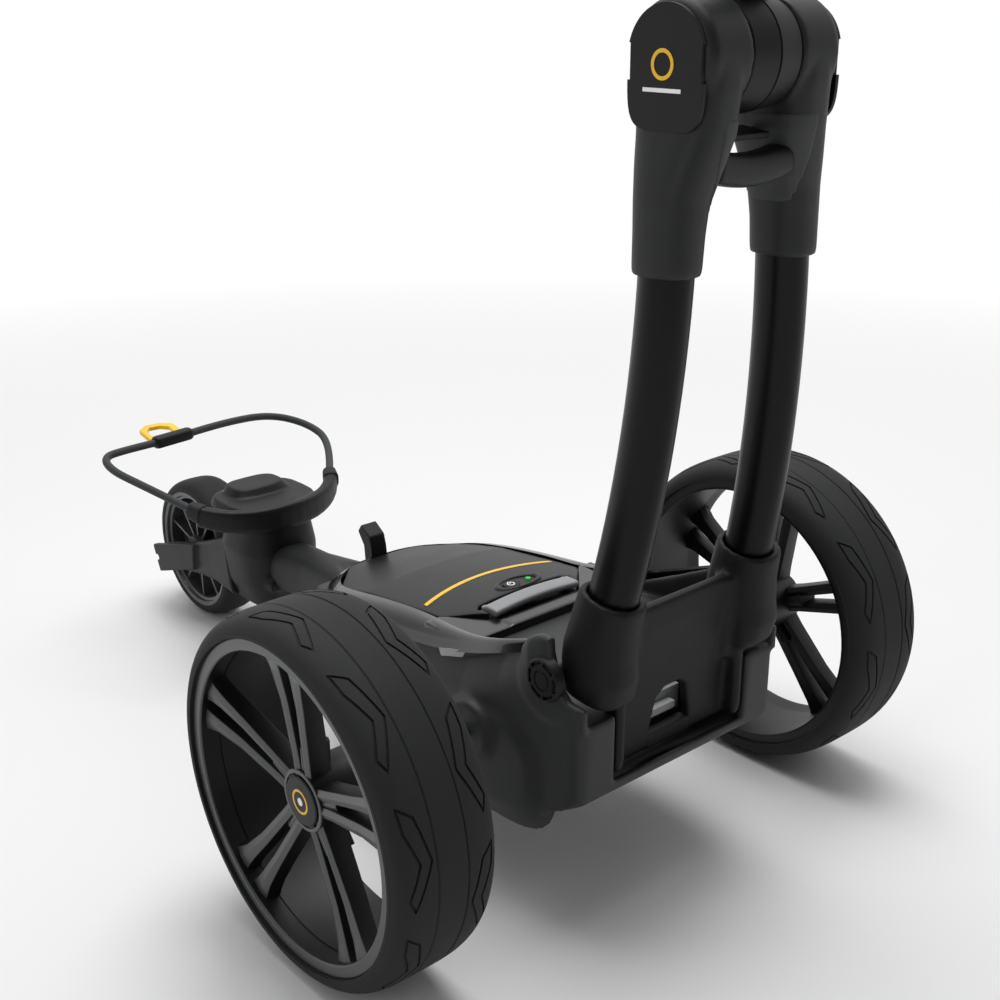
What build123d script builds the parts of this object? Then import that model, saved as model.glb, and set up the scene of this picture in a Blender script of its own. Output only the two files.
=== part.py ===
"""Electric golf trolley: two big drive wheels, a small front wheel and a folding frame.

Millimetres, +X right, +Y forward, +Z up.  Every place below is measured from the floor point
under the rear axle; put() moves each piece forward so that the finished trolley stands with the
centre of its bounding box over the origin.
"""
import os
from math import atan2, cos, degrees, pi, radians, sin, sqrt, tan

from build123d import *

# ---------------------------------------------------------------- overall sizes
AXLE_Y = -158.0             # rear axle's place behind the trolley's middle
OVERALL_WIDTH = 590.0       # over the outside faces of the rear tyres
WHEELBASE = 633.5
FIT = 0.05                  # radial clearance of a running fit
GAP = 0.4                   # clearance between separate moving pieces

# rear wheels
REAR_R = 147.0
REAR_TYRE_WIDTH = 88.4
REAR_RIM_R = 130.2
REAR_RIM_WALL = 8.4
REAR_LIP = 10.5             # radial width of the rim's outer flange
SPOKES = 5
SPOKE_DEPTH = 20.0
SPOKE_INSET = 8.0           # spokes stand this far inside the rim's outer edge
HUB_R = 24.0
HUB_INSET = 19.0            # hub cap's face inside the tyre's outer face
HUB_LENGTH = 46.0
CAP_R = 19.9
CAP_DEPTH = 5.0
AXLE_R = 6.0

# front wheel
FRONT_R = 82.3
FRONT_TYRE_WIDTH = 47.3
FRONT_RIM_R = 70.0
FRONT_RIM_WALL = 5.5
FRONT_HUB_R = 15.0
FRONT_AXLE_R = 5.0
BEARING_R = 11.0
BEARING_WIDTH = 7.0

# drive train
GEAR_MODULE = 1.5
GEAR_TEETH = 44
PINION_TEETH = 12
GEAR_WIDTH = 14.0
GEAR_X = 66.0
TOOTH_SHARE = 0.36          # tooth width as a share of the pitch, thin for free running
MOTOR_R = 22.0
MOTOR_LENGTH = 100.0
MOTOR_DROP = 14.0           # motor axis below the axle
CAN_WALL = 3.0

# chassis
CHASSIS_HALF = 112.0
WALL = 6.0
BELLY_Z = 74.0
DECK_Z = 199.0
CORNER_Z = 194.0            # top of the closed corners beside the yoke's rails
RAIL_OUT = 72.0             # outer face of the yoke's rails
YOKE_ROOM_Y = -68.0         # front wall of the open room that the yoke swings in
BEARING_HOUSING_R = 26.0
REAR_BEARING_R = 14.0

# fold pivots
MAIN_Y = -86.0
MAIN_Z = 224.0
EAR_R = 34.0
MAIN_PIN_R = 8.0
HEAD_Y = -142.0
HEAD_Z = 658.0
HEAD_PIN_R = 7.0

# frame tubes: (half spacing, y, z) of the bottom, middle and top of each centre line
TUBE_LOW = (80.1, -101.5, 230.0)
TUBE_MID = (67.2, -135.6, 400.0)
TUBE_TOP = (58.2, -142.2, 550.0)
TUBE_HALF_X = 17.0
TUBE_HALF_Y = 20.0
TUBE_WALL = 2.0
SLEEVE_WALL = 5.5
SLEEVE_TOP_Z = 291.0

# head
CHEEK_IN = 24.6
CHEEK_OUT = 64.0            # flat outer face behind the cover
CHEEK_FOOT = 81.0           # outer face at the foot of the head's sleeve
CHEEK_R = 36.0
BARREL_R = 37.0
BARREL_HALF = CHEEK_IN - GAP
HEAD_SLEEVE_Z = 524.0

# upper arm, leaning back from the head pivot
ARM_LEAN = 35.0
ARM_OFFSET = 26.0           # arm's centre line in front of the pivot, square to the arm
ARM_LENGTH = 395.0
ARM_HALF_X = 17.0
ARM_HALF_Y = 15.0
HANDLE_HALF = 88.0
GRIP_R = 15.0
GRIP_LENGTH = 105.0

# battery
BAY_CLEARANCE = 1.5
LIP_WIDTH = 17.0            # tray edge's width round the battery
BATTERY_REAR = 46.0
BATTERY_FRONT = 278.0
BATTERY_SHOULDER = 232.0      # where the sides start to turn in towards the nose
BATTERY_HALF = 80.0
BATTERY_REAR_HALF = 44.0
BATTERY_NOSE_HALF = 40.0
BATTERY_BASE_Z = 118.0
BATTERY_WALL = 3.0

# front end
SPINE_HALF = 25.0
CRADLE_HALF = 84.0
CRADLE_Y = 493.0
CRADLE_SAG = 43.0
CRADLE_TOP = 190.0
FORK_IN = FRONT_TYRE_WIDTH / 2 + 4.5
FORK_OUT = FORK_IN + 9.0
STRAP_D = 8.5
CLIP_FROM = (-58.0, 631.9, 222.3)
CLIP_TO = (-6.0, 635.6, 223.8)
CLIP_LENGTH = 48.0
STRAP_ROUTE = [
    (-88, 499, 187), (-111, 560, 203), (-127, 600, 214), (-122, 627, 221), (-95, 631, 222),
    (-41, 632, 222.5), (40, 641, 225), (96, 636, 224), (127, 602, 214), (128, 557, 202),
    (92, 507, 188),
]

os.makedirs("parts", exist_ok=True)


# ---------------------------------------------------------------- small helpers
def put(name: str, shape) -> None:
    """Write one sub-part, moved into the trolley's own frame."""
    export_step(Pos(0, AXLE_Y, 0) * shape, f"parts/{name}.step")


def block(x: tuple, y: tuple, z: tuple):
    """A box between two limits on each axis."""
    middle = Pos((x[0] + x[1]) / 2, (y[0] + y[1]) / 2, (z[0] + z[1]) / 2)
    return middle * Box(x[1] - x[0], y[1] - y[0], z[1] - z[0])


def bar_x(radius: float, x: tuple, y: float, z: float):
    """A round bar along X between two X limits."""
    return Pos((x[0] + x[1]) / 2, y, z) * Rot(0, 90, 0) * Cylinder(radius, x[1] - x[0])


def rounded(points: list, radius: float = 0.0):
    """A closed outline with every corner rounded alike."""
    face = make_face(Polyline(*points, close=True))
    return fillet(face.vertices(), radius) if radius else face


def side_plate(points: list, x: tuple, radius: float = 0.0):
    """An outline in Y and Z, carried along X between two limits."""
    return Pos(x[0], 0, 0) * extrude(Plane.YZ * rounded(points, radius), x[1] - x[0])


def front_plate(points: list, y: tuple):
    """An outline seen from the front, pushed along Y between two limits."""
    return Pos(0, y[1], 0) * extrude(Plane.XZ * make_face(Polyline(*points, close=True)), y[1] - y[0])


def plan_plate(points: list, z: tuple, radius: float = 0.0):
    """An outline in X and Y, carried up Z between two limits."""
    return Pos(0, 0, z[0]) * extrude(rounded(points, radius), z[1] - z[0])


def turned_x(points: list):
    """A solid of revolution about X from an outline of (x, radius) points."""
    return revolve(Plane.XZ * rounded(points), axis=Axis.X)


def both(shape):
    """A shape and its mirror image in the middle plane, as one group."""
    return shape + mirror(shape, about=Plane.YZ)


def gear(teeth: int, bore: float):
    """A spur gear along Z with thin straight-sided teeth."""
    pitch_r = GEAR_MODULE * teeth / 2
    root_r = pitch_r - 1.25 * GEAR_MODULE
    tip_r = pitch_r + 0.9 * GEAR_MODULE
    step = 2 * pi / teeth
    half_pitch = TOOTH_SHARE * step / 2
    half_root = half_pitch * 1.45
    half_tip = half_pitch * 0.5
    corners = []
    for index in range(teeth):
        middle = index * step
        for radius, turn in ((root_r, -half_root), (tip_r, -half_tip), (tip_r, half_tip), (root_r, half_root)):
            corners.append((radius * cos(middle + turn), radius * sin(middle + turn)))
    return extrude(rounded(corners) - Circle(bore), GEAR_WIDTH)


def tube_path(low: tuple, middle: tuple, top: tuple):
    """The centre line of one frame tube, a single arc."""
    return ThreePointArc(low, middle, top)


def oval_sweep(path, half_x: float, half_y: float):
    """An upright oval section swept along a path."""
    start = Plane(origin=path @ 0, x_dir=(1, 0, 0), z_dir=path % 0)
    return sweep(start * Ellipse(half_x, half_y), path=path)


# ---------------------------------------------------------------- rear wheels
def rear_tyre(outer: float):
    """A wide tyre with a rounded tread and two slim grooves round it."""
    inner = outer - REAR_TYRE_WIDTH
    shoulder = 13.0
    groove_depth = 1.4
    groove_half = 0.8
    profile = rounded([(inner, REAR_RIM_R), (outer, REAR_RIM_R), (outer, REAR_R), (inner, REAR_R)])
    crown = profile.vertices().filter_by(lambda corner: corner.Y > REAR_R - 1)
    body = revolve(Plane.XZ * fillet(crown, shoulder), axis=Axis.X)
    for share in (0.27, 0.73):
        middle = inner + share * REAR_TYRE_WIDTH
        low, high = middle - groove_half, middle + groove_half
        floor = REAR_R - groove_depth
        body -= turned_x([(low, floor), (high, floor), (high, REAR_R + 1), (low, REAR_R + 1)])
    return body


def spoke_pair(outer_x: float):
    """One pair of slim spokes with a slot that widens towards the rim, pointing up."""
    reach = REAR_RIM_R - REAR_RIM_WALL / 2
    depth = (outer_x - SPOKE_DEPTH, outer_x)
    past = (depth[0] - 1, depth[1] + 1)
    shape = side_plate([(-9, HUB_R - 4), (9, HUB_R - 4), (20, reach), (-20, reach)], depth)
    slot = [(-1.4, HUB_R + 10), (1.4, HUB_R + 10), (9, reach - 4), (-9, reach - 4)]
    return shape - side_plate(slot, past)


def rear_rim(outer: float):
    """A deep rim barrel with an outer flange, five spoke pairs and a bored hub."""
    edge = outer - 3.5
    inner = outer - REAR_TYRE_WIDTH + 3.5
    barrel_r = REAR_RIM_R - REAR_RIM_WALL
    body = turned_x([(inner, barrel_r), (inner, REAR_RIM_R), (edge, REAR_RIM_R), (edge, barrel_r)])
    lip_r = REAR_RIM_R - REAR_LIP
    body += turned_x([(edge - 6, lip_r), (edge - 6, barrel_r + 1), (edge, barrel_r + 1), (edge, lip_r)])
    for index in range(SPOKES):
        body += Rot(index * 360 / SPOKES, 0, 0) * spoke_pair(edge - SPOKE_INSET)
    hub_face = outer - HUB_INSET
    body += bar_x(HUB_R, (hub_face - HUB_LENGTH, hub_face), 0, 0)
    body -= bar_x(CAP_R, (hub_face - CAP_DEPTH, hub_face + 1), 0, 0)
    body -= bar_x(AXLE_R + FIT, (hub_face - HUB_LENGTH - 1, hub_face), 0, 0)
    return body



def hub_cap(outer: float):
    """The round cap that closes the hub, with a shallow dished face."""
    face = outer - HUB_INSET
    cap = bar_x(CAP_R, (face - CAP_DEPTH, face + 1.5), 0, 0)
    return cap - bar_x(CAP_R - 3, (face + 0.7, face + 2), 0, 0)


def make_rear_wheels() -> None:
    """Tyre, rim and hub cap on each side of the rear axle."""
    outer = OVERALL_WIDTH / 2
    for side, turn in (("right", 0), ("left", 180)):
        place = Pos(0, 0, REAR_R) * Rot(0, 0, turn)
        put(f"{side}_tyre", place * rear_tyre(outer))
        put(f"{side}_rim", place * rear_rim(outer))
        put(f"{side}_hub_cap", place * hub_cap(outer))


# ---------------------------------------------------------------- drive train
def make_drive() -> None:
    """Axle, gear, pinion, motor and gearbox."""
    reach = GEAR_MODULE * (GEAR_TEETH + PINION_TEETH) / 2
    motor_y = -sqrt(reach**2 - MOTOR_DROP**2)
    motor_z = REAR_R - MOTOR_DROP
    end = OVERALL_WIDTH / 2 - HUB_INSET - CAP_DEPTH - 2
    put("axle_shaft", bar_x(AXLE_R, (-end, end), 0, REAR_R))
    upright = Pos(GEAR_X, 0, REAR_R) * Rot(0, 90, 0)
    put("final_gear", upright * gear(GEAR_TEETH, AXLE_R))
    direction = degrees(atan2(motor_y, MOTOR_DROP))
    mesh_turn = direction + 180 - 360 / PINION_TEETH * (0.5 - direction * GEAR_TEETH / 360)
    place = Pos(GEAR_X, motor_y, motor_z) * Rot(0, 90, 0) * Rot(0, 0, mesh_turn)
    put("motor_pinion", place * gear(PINION_TEETH, 4.0))
    can_right = GEAR_X - 14
    can_left = can_right - MOTOR_LENGTH
    shaft = bar_x(4.0, (can_left + CAN_WALL + 1, GEAR_X + GEAR_WIDTH), motor_y, motor_z)
    iron = bar_x(MOTOR_R - CAN_WALL - 5, (can_left + 12, can_right - 12), motor_y, motor_z)
    put("motor_rotor", shaft + iron)
    can = bar_x(MOTOR_R, (can_left, can_right), motor_y, motor_z)
    inside = (can_left + CAN_WALL, can_right - CAN_WALL)
    can -= bar_x(MOTOR_R - CAN_WALL, inside, motor_y, motor_z)
    can -= bar_x(4.0 + FIT, (can_left + CAN_WALL, can_right + 1), motor_y, motor_z)
    put("motor_can", can)
    case_r = GEAR_MODULE * GEAR_TEETH / 2 + 6
    case_x = (GEAR_X - 10, GEAR_X + GEAR_WIDTH + 6)
    room_x = (GEAR_X - 3, GEAR_X + GEAR_WIDTH + 3)
    case = bar_x(case_r, case_x, 0, REAR_R) + bar_x(16, case_x, motor_y, motor_z)
    case -= bar_x(case_r - 3.5, room_x, 0, REAR_R) + bar_x(13, room_x, motor_y, motor_z)
    case -= bar_x(AXLE_R + FIT, (case_x[0] - 1, case_x[1] + 1), 0, REAR_R)
    case -= bar_x(4.0 + FIT, (case_x[0] - 1, room_x[0] + 1), motor_y, motor_z)
    put("gearbox_case", case)
    ring = bar_x(REAR_BEARING_R, (CHASSIS_HALF - 2, CHASSIS_HALF + 8), 0, REAR_R)
    ring -= bar_x(AXLE_R + FIT, (CHASSIS_HALF - 3, CHASSIS_HALF + 9), 0, REAR_R)
    put("axle_bearings", both(ring))


# ---------------------------------------------------------------- chassis
def chassis_side() -> list:
    """The chassis side outline, from the rear lip round under the belly and back over the top."""
    return [
        (-122, 128), (-62, 92), (-10, BELLY_Z), (205, BELLY_Z + 4), (288, 104), (296, 150),
        (282, 168), (118, 186), (70, 193), (21, 205), (-22, 224), (-62, 240), (-112, 240), (-124, 196),
    ]


def chassis_plan(inset: float) -> list:
    """The chassis seen from above, narrowing towards the front."""
    half = CHASSIS_HALF - inset
    nose = 66 - inset
    return [
        (-half, -118 + inset), (-half + 26, -136 + inset), (half - 26, -136 + inset), (half, -118 + inset),
        (half, 214), (nose, 300 - inset), (-nose, 300 - inset), (-half, 214),
    ]


def bay_plan(gap: float) -> list:
    """The battery's outline seen from above, grown by a clearance, with its four corners cut off."""
    side = BATTERY_HALF + gap
    rear = BATTERY_REAR - gap
    nose = BATTERY_FRONT + gap
    rear_half = BATTERY_REAR_HALF + gap / 2
    nose_half = BATTERY_NOSE_HALF + gap / 2
    shoulder = rear + BATTERY_HALF - BATTERY_REAR_HALF + gap / 2
    return [
        (-rear_half, rear), (rear_half, rear), (side, shoulder), (side, BATTERY_SHOULDER + gap / 2),
        (nose_half, nose), (-nose_half, nose), (-side, BATTERY_SHOULDER + gap / 2), (-side, shoulder),
    ]


def chassis_outside():
    """The chassis as one filled solid."""
    whole = side_plate(chassis_side(), (-CHASSIS_HALF, CHASSIS_HALF), 6)
    return whole & plan_plate(chassis_plan(0), (0, 320), 14)


def chassis_shell():
    """The hollow chassis tub with its pivot ears, battery bay and axle housings."""
    high = 320.0
    outside = chassis_outside()
    inner_side = offset(rounded(chassis_side()), -WALL)
    inside = Pos(-CHASSIS_HALF, 0, 0) * extrude(Plane.YZ * inner_side, 2 * CHASSIS_HALF)
    inside = inside & plan_plate(chassis_plan(WALL), (0, high), 9)
    ears = both(bar_x(EAR_R, (CHASSIS_HALF - 7, CHASSIS_HALF + 2), MAIN_Y, MAIN_Z))
    domes = both(bar_x(BEARING_HOUSING_R, (CHASSIS_HALF - 4, CHASSIS_HALF + 10), 0, REAR_R))
    body = outside - inside
    deck = block((-CHASSIS_HALF + 3, CHASSIS_HALF - 3), (YOKE_ROOM_Y, BATTERY_REAR), (100, DECK_Z))
    deck -= block((-CHASSIS_HALF, CHASSIS_HALF), (YOKE_ROOM_Y + 4, BATTERY_REAR - BAY_CLEARANCE - 4), (90, DECK_Z - 3))
    floor_z = BATTERY_BASE_Z - BAY_CLEARANCE
    floor = plan_plate(bay_plan(10), (floor_z - 4, floor_z))
    body += (deck + floor) & (outside + ears)
    body += ears + domes
    corner_half = (RAIL_OUT + 3, CHASSIS_HALF - WALL)
    corner = block((RAIL_OUT + 3, RAIL_OUT + 6), (-140, YOKE_ROOM_Y), (100, CORNER_Z))
    corner += block(corner_half, (-140, YOKE_ROOM_Y), (CORNER_Z - 3, CORNER_Z))
    corner += block(corner_half, (YOKE_ROOM_Y - 3, YOKE_ROOM_Y), (100, CORNER_Z))
    body += both(corner) & outside
    yoke_room = block((-CHASSIS_HALF + 7, CHASSIS_HALF - 7), (-180, YOKE_ROOM_Y), (CORNER_Z, high))
    yoke_room += block((-RAIL_OUT - 3, RAIL_OUT + 3), (-180, YOKE_ROOM_Y), (136, high))
    over_deck = block((-CHASSIS_HALF + 7, CHASSIS_HALF - 7), (-90, BATTERY_REAR + 10), (DECK_Z, high))
    body -= yoke_room + over_deck
    body -= plan_plate(bay_plan(BAY_CLEARANCE), (floor_z, high), 8)
    body -= both(bar_x(MAIN_PIN_R, (CHASSIS_HALF - 12, CHASSIS_HALF + 5), MAIN_Y, MAIN_Z))
    body -= both(bar_x(REAR_BEARING_R, (CHASSIS_HALF - 2, CHASSIS_HALF + 8), 0, REAR_R))
    body -= both(bar_x(AXLE_R + 3, (CHASSIS_HALF - 12, CHASSIS_HALF + 20), 0, REAR_R))
    return body


def make_chassis() -> None:
    """The chassis, its trim, its pins and what it carries inside."""
    shell = chassis_shell()
    put("chassis_shell", shell)
    lip = plan_plate(bay_plan(LIP_WIDTH), (150, 240), 12) - plan_plate(bay_plan(BAY_CLEARANCE), (140, 250), 8)
    hollow = plan_plate(bay_plan(LIP_WIDTH - 3), (140, 250), 9) - plan_plate(bay_plan(BAY_CLEARANCE + 3), (130, 260), 8)
    top_line = [(20, 207), (62, 209), (118, 204), (190, 193), (300, 172)]
    under = [(300, 150), (20, 150)]
    lowered = [(y, z - 3) for y, z in top_line]
    lip &= side_plate(under + top_line, (-CHASSIS_HALF, CHASSIS_HALF))
    lip -= hollow & side_plate(under + lowered, (-CHASSIS_HALF, CHASSIS_HALF))
    hook_gap = block((-11, 11), (279, 310), (150, 240))
    put("tray_lip", lip - chassis_outside() - hook_gap)
    pin = bar_x(MAIN_PIN_R, (CHASSIS_HALF - 22, CHASSIS_HALF + 4), MAIN_Y, MAIN_Z)
    pin += bar_x(MAIN_PIN_R + 5, (CHASSIS_HALF + 2, CHASSIS_HALF + 5), MAIN_Y, MAIN_Z)
    put("fold_pins", both(pin))
    board = block((-70, -8), (-44, 34), (184, 186))
    for index in range(4):
        x = -62 + 14 * index
        board += block((x, x + 8), (-30, -18), (186, 192))
    posts = [Pos(x, y, 187) * Cylinder(3, 18) for x in (-66, -12) for y in (-38, 24)]
    for post in posts:
        board += post & block((-90, 0), (-60, 40), (184, 196))
    put("control_board", board)
    base = BATTERY_BASE_Z - BAY_CLEARANCE
    socket = block((-26, 26), (70, 96), (base, base + 1.2))
    socket += block((-20, 20), (74, 92), (base - 22, base - 4))
    for x in (-12, 0, 12):
        socket += block((x - 2, x + 2), (80, 86), (base - 6, base + 8))
    put("battery_socket", socket - shell)
    heads = [(x, y) for x in (-70, 70) for y in (30, 180)]
    screws = [Pos(x, y, BELLY_Z + 1) * Cylinder(5, 6) for x, y in heads]
    group = screws[0]
    for screw in screws[1:]:
        group += screw
    put("belly_screws", group - shell)


# ---------------------------------------------------------------- front end
def make_front() -> None:
    """Spine, hook, column, fork, wheel, bag cradle and strap."""
    spine = side_plate([(290, 108), (448, 92), (448, 146), (406, 153), (290, 146)], (-SPINE_HALF, SPINE_HALF), 5)
    recess = Pos(0, 345, 160) * Rot(-2, 0, 0) * extrude(Ellipse(13, 24), -12, both=False)
    put("front_spine", (spine - recess) - chassis_outside())
    hook = side_plate([(283, 150), (294, 150), (296, 186), (304, 200), (298, 207), (285, 196), (283, 184)], (-9, 9), 1)
    put("fold_hook", hook - chassis_outside() - spine)
    column = plan_plate([(-44, 448), (44, 448), (44, 500), (34, 544), (-34, 544), (-44, 500)], (66, 164), 12)
    tunnel = bar_x(FRONT_R + 6, (-FORK_IN, FORK_IN), WHEELBASE, FRONT_R)
    put("front_column", column - tunnel)
    arm = side_plate([(500, 126), (569, 116), (648, 97), (696, 76), (684, 44), (640, 54), (567, 66), (500, 70)],
                     (FORK_IN, FORK_OUT), 3)
    foot = side_plate([(592, 106), (697, 76), (684, 44), (596, 74)], (FORK_OUT, FORK_OUT + 8), 3)
    notch = block((FORK_OUT - 20, FORK_OUT + 9), (682, 705), (57, 63))
    side = (arm + foot - notch) - bar_x(FRONT_AXLE_R, (FORK_IN - 1, FORK_OUT + 7), WHEELBASE, FRONT_R)
    put("front_fork", both(side) - (column - tunnel))
    put("front_axle", bar_x(FRONT_AXLE_R, (-FORK_OUT - 7, FORK_OUT + 7), WHEELBASE, FRONT_R))
    half = FRONT_TYRE_WIDTH / 2
    tyre = rounded([(-half, FRONT_RIM_R), (half, FRONT_RIM_R), (half, FRONT_R), (-half, FRONT_R)])
    crown = tyre.vertices().filter_by(lambda corner: corner.Y > FRONT_R - 1)
    hub = Pos(0, WHEELBASE, FRONT_R)
    put("front_tyre", hub * revolve(Plane.XZ * fillet(crown, 9), axis=Axis.X))
    rim_r = FRONT_RIM_R - FRONT_RIM_WALL
    rim = turned_x([(-half + 2, rim_r), (-half + 2, FRONT_RIM_R), (half - 2, FRONT_RIM_R), (half - 2, rim_r)])
    rim += turned_x([(-3, FRONT_HUB_R - 2), (-3, rim_r + 1), (3, rim_r + 1), (3, FRONT_HUB_R - 2)])
    for index in range(10):
        rib = block((-half + 8, half - 8), (-2, 2), (FRONT_HUB_R - 1, rim_r + 1))
        rim += Rot(index * 36, 0, 0) * rib
    rim += bar_x(FRONT_HUB_R, (-half + 1, half - 1), 0, 0)
    rim -= bar_x(FRONT_AXLE_R + 1, (-half, half), 0, 0)
    rim -= both(bar_x(BEARING_R, (half - 1 - BEARING_WIDTH, half), 0, 0))
    put("front_rim", hub * rim)
    bearing = bar_x(BEARING_R, (half - 1 - BEARING_WIDTH, half - 1), 0, 0)
    bearing -= bar_x(FRONT_AXLE_R + FIT, (0, half), 0, 0)
    put("front_bearings", hub * both(bearing))
    make_cradle(column)


def cradle_ring(radius: float, z: tuple):
    """A round disc about the bag's axis, used to shape the cradle."""
    centre_y = CRADLE_Y + radius_of_cradle() - CRADLE_SAG
    return Pos(0, centre_y, (z[0] + z[1]) / 2) * Cylinder(radius, z[1] - z[0])


def radius_of_cradle() -> float:
    """Radius of the cradle's band from its half width and its sag."""
    return (CRADLE_HALF**2 + CRADLE_SAG**2) / (2 * CRADLE_SAG)


def make_cradle(column) -> None:
    """The curved lower bag support, its rubber ends and the elastic strap."""
    radius = radius_of_cradle()
    heights = (CRADLE_TOP - 26, CRADLE_TOP)
    tall = (heights[0] - 1, heights[1] + 1)
    band = cradle_ring(radius + 5, heights) - cradle_ring(radius - 5, tall)
    band = band & block((-CRADLE_HALF - 6, CRADLE_HALF + 6), (430, CRADLE_Y), (100, 240))
    cap = plan_plate([(-46, 456), (46, 456), (46, 520), (32, 542), (-32, 542), (-46, 520)], (164, 184), 10)
    put("bag_cradle", band + cap)
    pad = block((CRADLE_HALF - 8, CRADLE_HALF + 12), (CRADLE_Y, CRADLE_Y + 10), (CRADLE_TOP - 20, CRADLE_TOP + 8))
    put("cradle_ends", both(pad))
    corners = [Vector(*point) for point in STRAP_ROUTE]
    radii = []
    for before, here, after in zip(corners, corners[1:], corners[2:]):
        run = min((here - before).length, (after - here).length)
        half_turn = radians((here - before).get_angle(after - here)) / 2
        radii.append(0.45 * run / tan(half_turn))
    print("strap radii", [round(value, 1) for value in radii])
    path = FilletPolyline(*STRAP_ROUTE, radius=radii)
    section = Plane(origin=path @ 0, z_dir=path % 0) * Circle(STRAP_D / 2)
    cord = sweep(section, path=path)
    share = cord.volume / (pi * STRAP_D**2 / 4 * path.length)
    print("strap length", round(path.length, 1), "volume share", round(share, 4))
    put("bag_strap", cord)
    along = (Vector(*CLIP_TO) - Vector(*CLIP_FROM)).normalized()
    body = extrude(Plane(origin=CLIP_FROM, z_dir=along) * Circle(STRAP_D / 2 + 3), CLIP_LENGTH)
    put("strap_clip", body)
    loop = plan_plate([(-60, 636), (-18, 638), (-16, 667), (-27, 675), (-46, 677), (-57, 666)], (221, 227), 4)
    loop -= plan_plate([(-53, 646), (-26, 647), (-25, 662), (-32, 668), (-44, 669), (-50, 661)], (210, 235), 2)
    put("strap_loop", loop - body)


# ---------------------------------------------------------------- folding frame
def sleeve(side: float, z: tuple, wall: float):
    """The oval socket round one tube between two heights, solid, with the given wall."""
    path = tube_path(*[(side * x, y, height) for x, y, height in (TUBE_LOW, TUBE_MID, TUBE_TOP)])
    solid = oval_sweep(path, TUBE_HALF_X + wall, TUBE_HALF_Y + wall)
    return solid & block((-150, 150), (-250, 50), z)


def frame_tube(side: float):
    """One bent oval tube, solid."""
    path = tube_path(*[(side * x, y, height) for x, y, height in (TUBE_LOW, TUBE_MID, TUBE_TOP)])
    return oval_sweep(path, TUBE_HALF_X, TUBE_HALF_Y)


def make_frame() -> None:
    """Yoke, tubes and head."""
    tubes = {"left": frame_tube(-1), "right": frame_tube(1)}
    for name, side in (("left", -1), ("right", 1)):
        path = tube_path(*[(side * x, y, height) for x, y, height in (TUBE_LOW, TUBE_MID, TUBE_TOP)])
        bore = oval_sweep(path, TUBE_HALF_X - TUBE_WALL, TUBE_HALF_Y - TUBE_WALL)
        put(f"{name}_tube", tubes[name] - bore)
    legs = sleeve(-1, (232, SLEEVE_TOP_Z), SLEEVE_WALL) + sleeve(1, (232, SLEEVE_TOP_Z), SLEEVE_WALL)
    hip = side_plate([(-126, 200), (-74, 206), (-72, 238), (-76, 252), (-132, 252)], (56, CHASSIS_HALF - 7 - GAP), 5)
    rail = side_plate([(-121, 139), (-101, 139), (-92, 206), (-126, 206)], (56, RAIL_OUT), 3)
    panel = side_plate([(-107, 139), (-99, 139), (-106, 270), (-114, 270)], (-58, 58), 1)
    window = plan_plate([(-19, -140), (19, -140), (19, -90), (-19, -90)], (150, 186))
    web = side_plate([(-118, 232), (-96, 232), (-98, 266), (-120, 262)], (-58, 58), 1)
    yoke = legs + both(hip + rail) + panel + web - window
    yoke -= tubes["left"] + tubes["right"]
    yoke -= both(bar_x(MAIN_PIN_R + FIT, (50, CHASSIS_HALF), MAIN_Y, MAIN_Z))
    put("yoke", yoke)
    latch = block((-17, 17), (-98, -90), (158, 164)) + block((-30, 30), (-90, -86), (150, 172))
    put("lower_latch", latch)
    make_head(tubes)


def make_head(tubes: dict) -> None:
    """Cheeks, covers, saddle and upper latch."""
    flank = [(-168, HEAD_SLEEVE_Z), (-117, HEAD_SLEEVE_Z), (-112, 600), (-106, 658), (-178, 658), (-174, 600)]
    taper = front_plate([(0, 500), (CHEEK_FOOT, 500), (CHEEK_FOOT, 535), (CHEEK_OUT, 612), (CHEEK_OUT, 720), (0, 720)],
                        (-220, -60))
    for name, side in (("left", -1), ("right", 1)):
        limits = (CHEEK_IN, CHEEK_OUT)
        cheek = (side_plate(flank, (CHEEK_IN, CHEEK_FOOT), 6) & taper) + bar_x(CHEEK_R, limits, HEAD_Y, HEAD_Z)
        low_cut = block((0, CHEEK_IN + 8), (-220, -90), (500, 604))
        cheek -= low_cut
        cheek = cheek if side > 0 else mirror(cheek, about=Plane.YZ)
        cheek -= tubes[name]
        cheek -= bar_x(HEAD_PIN_R, (-CHEEK_OUT - 1, CHEEK_OUT + 1), HEAD_Y, HEAD_Z)
        put(f"{name}_head_cheek", cheek)
        lid = bar_x(CHEEK_R - 4, (CHEEK_OUT, CHEEK_OUT + 3), HEAD_Y, HEAD_Z)
        lid += side_plate([(HEAD_Y - 32, 614), (HEAD_Y + 32, 614), (HEAD_Y + 32, 660), (HEAD_Y - 32, 660)],
                          (CHEEK_OUT, CHEEK_OUT + 3), 5)
        put(f"{name}_head_cover", lid if side > 0 else mirror(lid, about=Plane.YZ))
    saddle = side_plate([(-166, 582), (-142, 582), (-142, 600), (-166, 606)], (-CHEEK_IN - 8, CHEEK_IN + 8), 3)
    put("head_saddle", saddle & block((-CHEEK_IN - 8, CHEEK_IN + 8), (-170, -130), (560, 604)))
    catch = side_plate([(-158, 606), (-134, 606), (-134, 613), (-158, 610)], (-18, 18), 1)
    put("upper_latch", catch + both(bar_x(2.5, (17, CHEEK_IN - GAP), -138, 609)))
    put("head_pin", bar_x(HEAD_PIN_R, (-CHEEK_OUT + 1, CHEEK_OUT - 1), HEAD_Y, HEAD_Z))


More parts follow.
